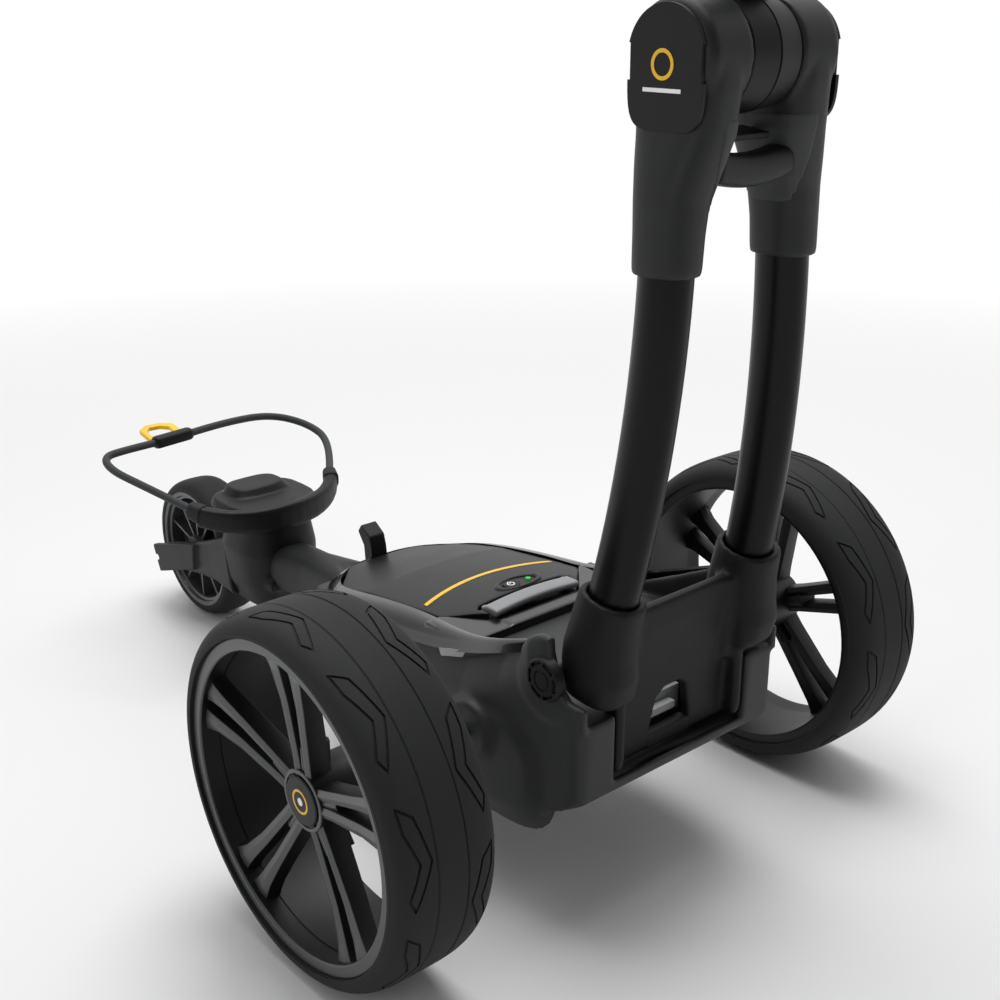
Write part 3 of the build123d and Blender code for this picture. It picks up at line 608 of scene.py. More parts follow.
# ------------------------------------------------------------------ rear wheels
@dataclass
class RearWheel:
    """A wide drive wheel: treaded tyre, twin-spoke rim and hub cap."""

    side: Side
    radius: float = 147.0
    width: float = 88.4
    outer: float = 295.0
    bead: float = 130.2
    barrel: float = 121.8
    hub_face: float = 276.0
    cap_radius: float = 19.9
    spokes: int = 5
    blocks: int = 9
    groove: float = 2.0
    groove_depth: float = 1.5

    def handed(self, bm: Mesh) -> Mesh:
        """Mirror a right-hand shape for the left wheel and lift it to the axle.

        Args:
            bm: the mesh, which is changed or freed.

        Returns:
            The mesh, in millimetres.
        """
        bmesh.ops.translate(bm, vec=(0, 0, self.radius), verts=bm.verts)
        if self.side is Side.RIGHT:
            return bm
        other = mirrored(bm)
        bm.free()
        return other

    def crown(self, x: float) -> float:
        """Radius of the tread at a distance from the tyre's middle plane.

        Args:
            x: distance from the middle plane, in millimetres.

        Returns:
            The value, in millimetres.
        """
        share = min(1.0, abs(x) / (self.width / 2))
        return self.bead + (self.radius - self.bead) * (1 - share**4.2) ** (1 / 2.4)

    def tread_profile(self) -> list[tuple[float, float]]:
        """The tyre's outline with its two slim circumferential grooves.

        Returns:
            The outline as (x, radius) points.
        """
        half = self.width / 2
        middle = self.outer - half
        points = [(middle + half, self.bead), (middle + half, self.bead + 3)]
        for index in range(1, 45):
            x = half * cos(pi * index / 45)
            points.append((middle + x, self.crown(x)))
        for rib in (-13.0, 13.0):
            points += [(middle + rib + 1.3, self.crown(rib)), (middle + rib, self.crown(rib) - 1.0),
                       (middle + rib - 1.3, self.crown(rib))]
        points[2:] = sorted(points[2:], reverse=True)
        return points + [(middle - half, self.bead + 3), (middle - half, self.bead)]

    def block_outline(self, turn: float, hand: int) -> Mesh:
        """A channel that follows one bent tread block, wrapped round the tyre.

        Args:
            turn: where round the tyre it is.
            hand: +1 on the outer shoulder, -1 on the inner one.

        Returns:
            The cutting shape.
        """
        shape = [(-38, 35), (-29, 25), (5, 17), (40, 31), (30, 35), (5, 26), (-20, 34)]
        corners = [Vector((u, v * hand)) for u, v in shape]
        path = [a.lerp(b, step / 4) for a, b in zip(corners, corners[1:] + corners[:1]) for step in range(4)]
        middle = self.outer - self.width / 2
        bm = bmesh.new()
        rings = []
        for index, spot in enumerate(path):
            ahead = (path[(index + 1) % len(path)] - spot).normalized()
            mitre = ((spot - path[index - 1]).normalized() + ahead).normalized()
            side = Vector((-mitre.y, mitre.x)) * self.groove / 2 / max(0.6, mitre.dot(ahead))
            ring = []
            for reach, lifted in ((-1, False), (1, False), (1, True), (-1, True)):
                u, v = spot + side * reach
                radius = self.radius + 4 if lifted else self.crown(v) - self.groove_depth
                angle = turn + u / self.radius
                ring.append(bm.verts.new((middle + v, -radius * sin(angle), radius * cos(angle))))
            rings.append(ring)
        for low, high in zip(rings, rings[1:] + rings[:1]):
            for k in range(4):
                bm.faces.new((low[k], low[(k + 1) % 4], high[(k + 1) % 4], high[k]))
        bmesh.ops.recalc_face_normals(bm, faces=bm.faces)
        return bm

    def tyre(self) -> Mesh:
        """The whole tyre with its tread.

        Returns:
            The mesh, in millimetres.
        """
        body = lathe(self.tread_profile(), (0, 0, 0), 160)
        step = 2 * pi / self.blocks
        cutters = []
        for index in range(self.blocks):
            cutters.append(self.block_outline(index * step, 1))
            cutters.append(self.block_outline((index + 0.5) * step, -1))
        return carved(body, cutters)

    def spoke_bar(self, hand: int) -> Mesh:
        """One slim faceted bar of a pair, pointing up, leaning to one hand.

        Args:
            hand: +1 or -1, the way that it leans.

        Returns:
            The mesh, in millimetres.
        """
        stations = [(14, 6.2, 11.5, 275, 22), (34, 7.2, 10.6, 276, 20), (80, 10.2, 12.0, 280, 18),
                    (106, 12.8, 15.5, 284, 17), (116, 14.6, 20.5, 286, 16), (125, 16.4, 30.0, 288, 16)]
        sections = []
        for reach, offset, width, front, depth in stations:
            sections.append(Section((front - depth / 2, hand * offset, reach), (depth / 2, width / 2), 4.0))
        return loft(sections, 8)

    def rim(self) -> Mesh:
        """Barrel, flange, twin spokes and hub.

        Returns:
            The mesh, in millimetres.
        """
        inner = self.outer - self.width + 3
        edge = self.outer - 3
        lip = self.bead - 10.5
        barrel = [(inner, self.barrel), (inner, self.bead + 0.2), (edge - 1, self.bead + 0.2),
                  (edge, self.bead - 1), (edge, lip + 1), (edge - 1.5, lip), (edge - 7, lip + 0.5),
                  (edge - 12, self.barrel)]
        parts = [lathe(barrel, (0, 0, 0), 144)]
        ring = self.cap_radius
        hub = [(230, 7), (230, 27), (255, 27), (self.hub_face - 5, 25.5), (self.hub_face - 0.6, 25.0),
               (self.hub_face, 24.2), (self.hub_face, ring + 1.6), (self.hub_face - 4, ring + 1.2),
               (self.hub_face - 4, 7)]
        parts.append(lathe(hub, (0, 0, 0), 96))
        for index in range(self.spokes):
            turn = Matrix.Rotation(index * 2 * pi / self.spokes, 4, "X")
            for hand in (-1, 1):
                bar = self.spoke_bar(hand)
                bmesh.ops.transform(bar, matrix=turn, verts=bar.verts)
                parts.append(bar)
            web = stack([((262, 0, 22), (12, 5), 4.0), ((262, 0, 44), (12, 6), 4.0)], 8)
            bmesh.ops.transform(web, matrix=turn, verts=web.verts)
            parts.append(web)
        return joined(parts)

    def cap(self) -> Mesh:
        """The shallow domed hub cap.

        Returns:
            The mesh, in millimetres.
        """
        face = self.hub_face
        ring = self.cap_radius
        outline = [(face - 4, 0.05), (face - 4, ring), (face + 0.4, ring), (face + 1.2, ring - 0.8),
                   (face + 1.5, ring - 4), (face + 1.7, 0.05)]
        return lathe(outline, (0, 0, 0), 72)

    def mark(self) -> tuple[Mesh, Mesh]:
        """A plain printed ring and dot on the cap.

        Returns:
            The two meshes, in millimetres.
        """
        face = self.hub_face + 1.6
        ring = lathe([(face, 8.0), (face, 10.0), (face + 0.25, 10.0), (face + 0.25, 8.0)], (0, 0, 0), 48)
        dot = lathe([(face, 0.05), (face, 3.2), (face + 0.25, 3.2), (face + 0.25, 0.05)], (0, 0, 0), 32)
        return ring, dot

    def build(self) -> None:
        """Place every piece of the wheel."""
        word = self.side.word
        body = f"{word}_wheel"
        place(f"{word}_tread", self.handed(self.tyre()), TREAD, "tyre", body, [f"{word}_tyre"], angle=28)
        rim = place(f"{word}_twin_spoke_rim", self.handed(self.rim()), RIM, "rim_grey", body, [f"{word}_rim"],
                    bevel=0.7, angle=25)
        # Faces that turn away from the wheel's outside take the near-black painted shade.
        rim.data.materials.append(RIM_PAINTED_SHADE.build())
        for face in rim.data.polygons:
            face.material_index = int(face.normal.x * self.side.value < 0.3)
        # A thin near-black sheet inside the barrel: painted shade that hides the floor seen through the
        # spokes.
        barrel = lathe([(209, 121.0), (209, 121.7), (274, 121.7), (274, 121.0)], (0, 0, 0), 96)
        place(f"{word}_barrel_lining", self.handed(barrel), RIM_PAINTED_SHADE, "rim_grey", body)
        place(f"{word}_cap", self.handed(self.cap()), CHARCOAL, "black_plastic", body, [f"{word}_hub_cap"])
        ring, dot = self.mark()
        place(f"{word}_cap_ring_print", self.handed(ring), YELLOW, "yellow", body)
        place(f"{word}_cap_dot_print", self.handed(dot), WHITE_INK, "handle_grey", body)


@dataclass
class FrontWheel:
    """The small front wheel: rounded tyre and a ribbed disc rim."""

    radius: float = 82.3
    width: float = 47.3
    wheelbase: float = 633.5
    bead: float = 69.5

    def tyre(self) -> Mesh:
        """The plain rounded tyre.

        Returns:
            The mesh, in millimetres.
        """
        half = self.width / 2
        points = [(half, self.bead), (half, self.bead + 3)]
        for index in range(1, 24):
            x = half * cos(pi * index / 24)
            share = abs(x) / half
            points.append((x, self.bead + 3 + (self.radius - self.bead - 3) * (1 - share**3.2) ** (1 / 2.2)))
        points += [(-half, self.bead + 3), (-half, self.bead)]
        return lathe(points, (0, self.wheelbase, self.radius), 120)

    def rim(self) -> Mesh:
        """Two stepped rings, a dished web and radial ribs.

        Returns:
            The mesh, in millimetres.
        """
        half = self.width / 2
        centre = (0, self.wheelbase, self.radius)
        outline = [(-half + 1.5, 65), (-half + 0.5, self.bead + 0.2), (half - 0.5, self.bead + 0.2),
                   (half - 1.5, 65), (half - 5, 64), (half - 6, 61), (3, 60), (3, 16), (half - 2, 15),
                   (half - 2, 6.2), (-half + 2, 6.2), (-half + 2, 15), (-3, 16), (-3, 60), (-half + 6, 61),
                   (-half + 5, 64)]
        parts = [lathe(outline, centre, 120)]
        for index in range(10):
            rib = block((-half + 8, -1.6, 14), (half - 8, 1.6, 62))
            bmesh.ops.transform(rib, matrix=Matrix.Rotation(index * pi / 5, 4, "X"), verts=rib.verts)
            bmesh.ops.translate(rib, vec=Vector(centre), verts=rib.verts)
            parts.append(rib)
        return joined(parts)

    def build(self) -> None:
        """Place the tyre and the rim."""
        place("front_tread", self.tyre(), TREAD, "tyre", "front_wheel", ["front_tyre"])
        place("front_ribbed_rim", self.rim(), RIM, "rim_grey", "front_wheel", ["front_rim"], bevel=0.4)
        dress(STEEL, "front_bearings")


# ------------------------------------------------------------------ chassis
@dataclass
class Chassis:
    """The moulded tub between the rear wheels, with its trim and what it carries."""

    half: float = 112.0
    axle_height: float = 147.0
    pivot: tuple[float, float] = PIVOT
    tuck: float = 0.12
    tuck_from: float = 84.0
    tuck_height: float = 42.0

    def top(self, y: float) -> float:
        """Height of the side's upper edge, where the glossy tray edge starts.

        Args:
            y: place along the trolley, in millimetres.

        Returns:
            The value, in millimetres.
        """
        line = [(-124, 240), (-62, 243), (-22, 226), (21, 207), (70, 194), (118, 187), (300, 166)]
        for (y0, z0), (y1, z1) in zip(line, line[1:]):
            if y <= y1:
                return z0 + (z1 - z0) * clamped((y - y0) / (y1 - y0))
        return line[-1][1]

    def shell(self) -> Mesh:
        """The tub with swelling axle housings, tucked-in upper sides and a rounded belly.

        Returns:
            The mesh, in millimetres.
        """
        parts = [from_cad("chassis_shell")]
        trims = [block((-73, -200, 137), (73, -69, 330)), block((-105, -200, 194.5), (105, -69, 330)),
                 block((-105, -90, 199.5), (105, 45, 330)), block((-104, -40, 84), (104, 38, 195))]
        for side in Side:
            hand = side.value
            swell = [((hand * 104, -14, 126), (76, 56), 2.8), ((hand * 112, -14, 126), (68, 48), 2.8),
                     ((hand * 117, -12, 130), (54, 36), 2.6)]
            parts.append(stack(swell, 64, (hand, 0, 0), (0, 1, 0)))
            parts.append(rod((hand * (self.half - 4), 0, self.axle_height),
                             (hand * (self.half + 10), 0, self.axle_height), 30, 24))
            wing = [(20, 190), (20, 208), (-22, 227), (-60, 244), (-84, 254), (-90, 240), (-96, 222),
                    (-106, 212), (-124, 210), (-124, 190)]
            parts.append(plate([(hand * 105.5, y, z) for y, z in wing], (hand * 5.5, 0, 0)))
            arc = [(-86, 280), (-90, 244), (-97, 223), (-107, 212), (-160, 208), (-160, 280)]
            trims.append(plate([(hand * 99, y, z) for y, z in arc], (hand * 30, 0, 0)))
        bm = moulded(parts, trims, 2.0, 8)
        for vert in bm.verts:
            x, y, z = vert.co
            rise = clamped((z - self.top(y) + self.tuck_height) / self.tuck_height)
            ahead = clamped((y + 66) / 40)
            outside = clamped((abs(x) - self.tuck_from) / 10)
            vert.co.x -= x * self.tuck * rise * rise * (3 - 2 * rise) * ahead * outside
        return bm

    def boss(self, side: Side) -> Mesh:
        """The six-sided ring of slots round the fold pin.

        Args:
            side: the side that it is made for.

        Returns:
            The mesh, in millimetres.
        """
        y, z = self.pivot
        hand = side.value
        x = hand * (self.half - 2)
        top = hand * (self.half + 5.6)
        past = top + hand * 3
        ring = [(x, 18.5), (top - hand * 1.6, 17.5), (top, 16.2), (top, 0.05), (x, 0.05)]
        cutters = [lathe([(top - hand * 2.4, 8.6), (top + hand, 8.6), (top + hand, 6.4),
                          (top - hand * 2.4, 6.4)], (0, y, z), 48)]
        for index in range(6):
            slot = block((min(x, past), -5.6, 11.2), (max(x, past), 5.6, 14.4))
            turn = Matrix.Rotation((index + 0.5) * pi / 3, 4, "X")
            bmesh.ops.transform(slot, matrix=turn, verts=slot.verts)
            bmesh.ops.translate(slot, vec=(0, y, z), verts=slot.verts)
            cutters.append(slot)
        return carved(lathe(ring, (0, y, z), 48), cutters)

    def lip(self) -> Mesh:
        """The glossy tray edge that runs round the battery and back to the fold bosses.

        Returns:
            The mesh, in millimetres.
        """
        low = [(108, -84, 250), (108, -62, 241), (107.4, -22, 225), (101.5, 22, 206), (99.5, 72, 193.5),
               (99.5, 118, 187), (99.5, 176, 182), (97.5, 226, 175), (84, 252, 170), (58, 291, 164),
               (0, 302, 163)]
        mid = [(107.4, -84, 253), (107.4, -62, 245), (106.8, -22, 229.5), (98.5, 24, 213), (95, 72, 207),
               (95, 118, 201), (95, 176, 193), (93.5, 226, 183), (80, 252, 176), (56, 287, 169),
               (0, 297, 168)]
        high = [(105.4, -84, 253.5), (105.4, -62, 245.5), (105.2, -22, 230), (94, 26, 213),
                (82.5, 80, 204), (82.5, 118, 202.5), (82.5, 176, 194), (82, 230, 184), (70, 249, 180),
                (42, 281, 177), (0, 281.5, 178)]
        rear = [(109, -84, 245), (109, -62, 236)] + [(x + 1, y, z - 5) for x, y, z in low[2:]]
        bm = bmesh.new()
        rows = []
        for points in (rear, low, mid, high):
            verts = [bm.verts.new(point) for point in points]
            rows.append([bm.edges.new((a, b)) for a, b in zip(verts, verts[1:])])
        for lower, upper in zip(rows, rows[1:]):
            bmesh.ops.bridge_loops(bm, edges=lower + upper)
        whole = joined([bm.copy(), mirrored(bm)])
        bm.free()
        return baked(whole, [("SUBSURF", {"levels": 2, "render_levels": 2}),
                             ("SOLIDIFY", {"thickness": 2.0, "offset": 0.0})])

    def tray_rear(self) -> Mesh:
        """The cross edge behind the battery, with cut-off corners.

        Returns:
            The mesh, in millimetres.
        """
        bars = [block((-46, 27, 196), (46, 45, 207))]
        for hand in (-1, 1):
            corner = [(44, 27), (44, 45), (81, 83), (97, 84), (97, 60), (92, 27)]
            bars.append(plate([(hand * x, y, 196) for x, y in corner], (0, 0, 10)))
        return moulded(bars, (), 1.4, 3)

    def badge(self, side: Side) -> tuple[Mesh, Mesh]:
        """A blank foil plate and its dark tail under the tray edge, with no lettering.

        Args:
            side: the side that it is made for.

        Returns:
            The two meshes, in millimetres.
        """
        x = side.value * 102.6
        push = (side.value * 0.8, 0, 0)
        plate_points = [(x, 56, 194), (x, 20, 205), (x, 25, 197), (x, 53, 188)]
        tail_points = [(x, 19, 205.5), (x, -16, 220), (x, -8, 212), (x, 24, 197.4)]
        return plate(plate_points, push), plate(tail_points, push)

    def build(self) -> None:
        """Place the shell, trim and inner pieces."""
        # The tub wears the lighter copy of the ABS: painted light on its shaded sides.
        place("moulded_tub", self.shell(), SHELL_PAINTED_LIGHT, "dark_plastic", "chassis", ["chassis_shell"], angle=60)
        place("tray_edge", self.lip(), GLOSSY, "gloss_black", "chassis", ["tray_lip"], angle=60)
        place("tray_rear_edge", self.tray_rear(), GLOSSY, "gloss_black", "chassis", angle=60)
        for side in Side:
            place(f"{side.word}_fold_boss", self.boss(side), DARK, "dark_plastic", "chassis", bevel=0.4)
            foil, tail = self.badge(side)
            place(f"{side.word}_blank_plate", foil, SILVER, "handle_grey", "chassis")
            place(f"{side.word}_plate_tail", tail, DARK, "dark_plastic", "chassis")
        dress(DARK, "fold_pins", "battery_socket")
        dress(STEEL, "axle_shaft", "final_gear", "motor_rotor", "motor_pinion", "belly_screws",
              "motor_can", "axle_bearings")
        dress(CAST, "gearbox_case")
        dress(BOARD, "control_board")


# ------------------------------------------------------------------ front end
@dataclass
class FrontEnd:
    """Spine, fold hook, column, fork and the lower bag cradle."""

    wheel_y: float = FrontWheel.wheelbase
    wheel_z: float = FrontWheel.radius
    cradle_y: float = 493.0
    cradle_half: float = 84.0
    sag: float = 43.0

    def spine(self) -> Mesh:
        """The low neck from the chassis to the column, with an oval recess on top.

        Returns:
            The mesh, in millimetres.
        """
        neck = stack([((0, 276, 124), (58, 30), 3.5), ((0, 306, 126), (44, 28), 3.2),
                      ((0, 340, 124), (29, 25), 3.0), ((0, 400, 118), (23, 24), 3.0),
                      ((0, 455, 112), (27, 26), 3.0)], 48, (0, 1, 0))
        dip = ball((0, 330, 158), (17, 34, 14))
        return moulded([neck], [dip], 2.0, 6)

    def hook(self) -> Mesh:
        """The upright catch that holds the folded frame.

        Returns:
            The mesh, in millimetres.
        """
        outline = [(281, 162), (295, 158), (297, 186), (306, 199), (300, 207), (286, 198), (283, 186)]
        return plate([(-9, y, z) for y, z in outline], (18, 0, 0))

    def column(self) -> Mesh:
        """The rounded front housing with shoulders over the wheel.

        Returns:
            The mesh, in millimetres.
        """
        trunk = stack([((0, 494, 66), (34, 36), 3.5), ((0, 496, 92), (44, 46), 3.2),
                       ((0, 496, 130), (46, 48), 3.0), ((0, 492, 158), (40, 42), 3.0),
                       ((0, 490, 168), (36, 38), 3.0)])
        cap = stack([((0, 496, 160), (40, 40), 3.0), ((0, 500, 172), (50, 44), 3.0),
                     ((0, 500, 181), (48, 43), 3.0)])
        collar = stack([((0, 446, 96), (31, 8), 4.0), ((0, 458, 100), (33, 12), 4.0)], 48, (0, 1, 0))
        tunnel = rod((-28, self.wheel_y, self.wheel_z), (28, self.wheel_y, self.wheel_z), 89)
        return moulded([trunk, cap, collar], [tunnel], 2.0, 6)

    def fork(self) -> Mesh:
        """Both fork arms with their notched end blocks.

        Returns:
            The mesh, in millimetres.
        """
        arm = loft([Section((36, 512, 104), (9, 34), 4.0, (0, 1, -0.1)),
                    Section((34, 560, 95), (7.5, 24), 4.0, (0, 1, -0.2)),
                    Section((33, 600, 85), (6.5, 19), 4.0, (0, 1, -0.3)),
                    Section((33, 662, 70), (6, 16), 4.0, (0, 1, -0.3))], 24)
        foot_line = [(592, 106), (696, 76), (692, 64), (685, 65), (684, 59), (690, 58), (684, 44), (596, 74)]
        foot = plate([(36, y, z) for y, z in foot_line], (8.2, 0, 0))
        side = moulded([arm, foot], (), 1.5, 4)
        return joined([side, mirrored(side)])

    def band_radius(self) -> float:
        """Radius of the cradle's curved band.

        Returns:
            The value, in millimetres.
        """
        return (self.cradle_half**2 + self.sag**2) / (2 * self.sag)

    def cradle(self) -> Mesh:
        """The curved band with its raised lobe and cap.

        Returns:
            The mesh, in millimetres.
        """
        radius = self.band_radius()
        middle_y = self.cradle_y + radius - self.sag
        span = atan2(self.cradle_half, radius - self.sag)
        sections = []
        for index in range(17):
            angle = -span + 2 * span * index / 16
            share = abs(angle) / span
            across = (sin(angle), -cos(angle), 0)
            centre = (radius * sin(angle), middle_y - radius * cos(angle), 172 + 9 * share**3)
            along = (cos(angle), sin(angle), 0)
            sections.append(Section(centre, (6 + 1.5 * share, 14.5 - 3 * share), 4.0, along, across))
        band = loft(sections, 24)
        shelf = stack([((0, 498, 166), (46, 40), 3.4), ((0, 500, 176), (54, 44), 3.4),
                       ((0, 500, 184), (50, 42), 3.4)])
        lobe = stack([((0, 514, 178), (40, 26), 3.2), ((0, 518, 193), (30, 20), 3.0)])
        return moulded([band, shelf, lobe], (), 1.8, 5)

    def ends(self) -> Mesh:
        """Rubber sleeves at the cradle's tips where the strap enters.

        Returns:
            The mesh, in millimetres.
        """
        end = stack([((81, 488, 182), (9, 10.5), 3.2), ((88, 502, 186), (7.6, 9.0), 3.0)], 32,
                    (0.45, 1, 0.2), (1, -0.45, 0))
        return joined([end, mirrored(end)])

    def build(self) -> None:
        """Place every piece of the front end."""
        place("moulded_spine", self.spine(), CHARCOAL, "dark_plastic", "chassis", ["front_spine"], angle=60)
        place("folding_catch", self.hook(), DARK, "dark_plastic", "chassis", ["fold_hook"], bevel=1.2)
        place("front_housing", self.column(), DARK, "black_plastic", "chassis", ["front_column"], angle=60)
        place("fork_arms", self.fork(), DARK, "black_plastic", "chassis", ["front_fork"], angle=60)
        place("lower_bag_rest", self.cradle(), DARK, "black_plastic", "chassis", ["bag_cradle"], angle=60)
        place("strap_sockets", self.ends(), RUBBER, "rubber", "chassis", ["cradle_ends"], bevel=1.5)
        dress(DARK, "front_axle")


@dataclass
class BagStrap:
    """The elastic strap over the lower bag rest, with its clip and finger loop."""

    diameter: float = 8.5
    length: float = 506.6
    route: tuple[Point, ...] = (
        (-88, 499, 187), (-111, 560, 203), (-127, 600, 214), (-122, 627, 221), (-95, 631, 222),
        (-41, 632, 222.5), (40, 641, 225), (96, 636, 224), (127, 602, 214), (128, 557, 202),
        (92, 507, 188))

    def cord(self) -> bpy.types.Object:
        """The strap's own round cord as one smooth curve.

        Returns:
            The new object.
        """
        curve = bpy.data.curves.new("elastic_cord", "CURVE")
        curve.dimensions = "3D"
        curve.bevel_depth = self.diameter / 2 * MM
        curve.bevel_resolution = 6
        curve.use_fill_caps = True
        curve.resolution_u = 16
        spline = curve.splines.new("NURBS")
        spline.points.add(len(self.route) - 1)
        for knot, place_mm in zip(spline.points, self.route):
            knot.co = (*(TO_ROW @ Vector(place_mm)), 1.0)
        spline.order_u = 3
        spline.use_endpoint_u = True
        curve.materials.append(CORD.build())
        piece = bpy.data.objects.new("elastic_cord", curve)
        bpy.context.scene.collection.objects.link(piece)
        return piece

    def clip(self) -> Mesh:
        """The black sleeve that slides on the cord.

        Returns:
            The mesh, in millimetres.
        """
        start, towards = Vector((-58.0, 631.9, 222.3)), Vector((-6.0, 635.6, 223.8))
        along = (towards - start).normalized()
        rows = []
        for reach, half in ((0, (6.2, 6.2)), (3, (7.4, 7.2)), (45, (7.4, 7.2)), (48, (6.0, 6.0))):
            rows.append((tuple(start + along * reach), half, 2.6))
        wing = block((-54, 634, 219), (-22, 642, 224))
        return moulded([stack(rows, 32, tuple(along), (0, 1, 0)), wing], (), 1.0, 3)

    def loop(self) -> Mesh:
        """The yellow D-shaped finger loop.

        Returns:
            The mesh, in millimetres.
        """
        outer = [(-61, 637, 221), (-17, 639, 221), (-15, 668, 224), (-27, 677, 225), (-46, 678, 225),
                 (-58, 667, 224)]
        inner = [(-54, 645), (-25, 646), (-24, 662), (-32, 669), (-44, 670), (-51, 661)]
        return carved(plate(outer, (0, 0, 5)), [plate([(x, y, 210) for x, y in inner], (0, 0, 26))])

    def build(self) -> None:
        cord = self.cord()
        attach(cord, "chassis")
        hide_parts("bag_strap")
        clip = place("strap_slider", self.clip(), DARK, "black_plastic", "chassis", ["strap_clip"])
        loop = place("finger_loop", self.loop(), YELLOW_ABS, "yellow", "chassis", ["strap_loop"], bevel=1.0)


# ------------------------------------------------------------------ folding frame
@dataclass
class FoldingFrame:
    """Yoke, bent tubes and head."""

    cheek_in: float = 24.6
    pivot: tuple[float, float] = PIVOT
    head: tuple[float, float] = HEAD
    cover_x: float = 64.0

    def leg(self) -> Mesh:
        """The right-hand sleeve, hip and rail of the yoke.

        Returns:
            The mesh, in millimetres.
        """
        sleeve = loft([Section((75.6, -117.2, 291), (22.6, 25.6), 2.3, (-0.08, -0.2, 1)),
                       Section((77.2, -112, 268), (23.2, 27.0), 2.3, (-0.08, -0.22, 1)),
                       Section((78.8, -108.5, 246), (23.8, 29.0), 2.5, (-0.05, -0.12, 1)),
                       Section((79.6, -108.5, 226), (23.6, 30.0), 2.7),
                       Section((78.6, -108.5, 210), (21, 26), 2.8),
                       Section((76, -109, 202), (15, 17), 3.0)], 48)
        rail = stack([((67, -112, 232), (7.0, 10.5), 3.4), ((67.6, -113, 190), (5.6, 9.5), 3.4),
                      ((67.6, -113.5, 150), (5.2, 9.0), 3.4), ((67.6, -113, 141), (3.8, 7.0), 3.0)], 32)
        return joined([sleeve, rail])

    def yoke(self) -> Mesh:
        """Both legs blended into the rear panel, with its window and tube sockets.

        Returns:
            The mesh, in millimetres.
        """
        leg = self.leg()
        other = mirrored(leg)
        outline = [(-108, 139), (-98, 139), (-101, 180), (-103, 225), (-106, 262), (-112, 272), (-120, 270),
                   (-119, 250), (-113, 215), (-109, 175)]
        panel = plate([(-66, y, z) for y, z in outline], (132, 0, 0))
        fillets = []
        for hand in (-1, 1):
            fillets.append(stack([((hand * 54, -113, 268), (10, 9), 2.4),
                                  ((hand * 56, -112, 235), (9, 9), 2.4),
                                  ((hand * 60, -108, 195), (7, 8), 2.4)], 32))
        opening = [(-24, 130), (24, 130), (22, 160), (16, 184), (9, 190), (-9, 190), (-16, 184), (-22, 160)]
        window = plate([(x, -140, z) for x, z in opening], (0, 60, 0))
        bores = [self.filled_tube(side) for side in Side]
        pins = [rod((low, *self.pivot), (low + 56, *self.pivot), 8.2) for low in (-112, 56)]
        return moulded([leg, other, panel, *fillets], [window, *bores, *pins], 1.8, 7)

    def ledge(self) -> Mesh:
        """The sill of the window, level with the rails.

        Returns:
            The mesh, in millimetres.
        """
        return moulded([block((-24, -108, 139), (24, -98, 152))], (), 1.2, 3)

    def filled_tube(self, side: Side) -> Mesh:
        """The tube's own volume near its foot, used to open the socket.

        Args:
            side: the side that it is made for.

        Returns:
            The mesh, in millimetres.
        """
        hand = side.value
        stations = [(80.3, -101.0, 228), (77.9, -108.6, 257), (75.1, -116.5, 291), (73.0, -122.0, 318)]
        rows = [((hand * x, y, z), (17.6, 20.6), 2.0) for x, y, z in stations]
        return stack(rows, 48, (-0.08 * hand, -0.24, 1))

    def cheek(self) -> Mesh:
        """The right-hand sleeve and cheek of the head.

        Returns:
            The mesh, in millimetres.
        """
        y, z = self.head
        trunk = stack([((59.8, -142.8, 524), (19.4, 22.8), 2.4), ((59.6, -142.8, 529), (20.0, 23.4), 2.4),
                       ((58.6, -142.6, 550), (20.2, 23.6), 2.5), ((56.6, -142, 572), (20.6, 25.0), 2.6),
                       ((51.6, -142, 592), (21.4, 29), 2.8), ((46.2, -142, 612), (20.8, 33), 3.2),
                       ((44.2, -142, 640), (19.8, 36), 3.4), ((44.2, -142, 660), (19.8, 36), 3.4)], 64)
        dome = rod((self.cheek_in, y, z), (59.0, y, z), 36)
        flare = rod((59, y, z), (self.cover_x, y, z), 36, 31.5)
        gap = block((-30, -230, 500), (self.cheek_in + 0.3, -60, 720))
        return moulded([trunk, dome, flare], [gap, self.tube_top()], 1.6, 7)

    def tube_top(self) -> Mesh:
        """The right tube's own volume near its top, used to open the sleeve.

        Returns:
            The mesh, in millimetres.
        """
        stations = [(60.9, -142.6, 505), (59.6, -142.8, 524), (58.2, -142.2, 550)]
        return stack([(station, (17.3, 20.3), 2.0) for station in stations])

    def cover(self) -> Mesh:
        """The cover plate on a cheek: a round top and a nearly flat foot with rounded corners.

        Returns:
            The mesh, in millimetres.
        """
        y, z = self.head
        points = []
        for index in range(72):
            angle = 2 * pi * index / 72
            power, high = (1.0, 32.0) if sin(angle) >= 0 else (0.42, 44.0)
            across, up = bulged(cos(angle), power), bulged(sin(angle), power)
            points.append((self.cover_x, y + 32 * across, z + high * up))
        slots = [block((60, edge - 1.6, z - 14), (75, edge + 1.6, z + 8)) for edge in (y - 31.4, y + 31.4)]
        return carved(plate(points, (3.0, 0, 0)), slots)

    def saddle(self) -> Mesh:
        """The arched bridge between the two sleeves.

        Returns:
            The mesh, in millimetres.
        """
        rows = []
        for index in range(9):
            x = -36 + 9 * index
            rows.append(((x, -155, 592 - 5 * (1 - (x / 36) ** 2)), (12, 11), 3.0))
        return moulded([stack(rows, 32, (1, 0, 0), (0, 1, 0))], (), 1.3, 3)

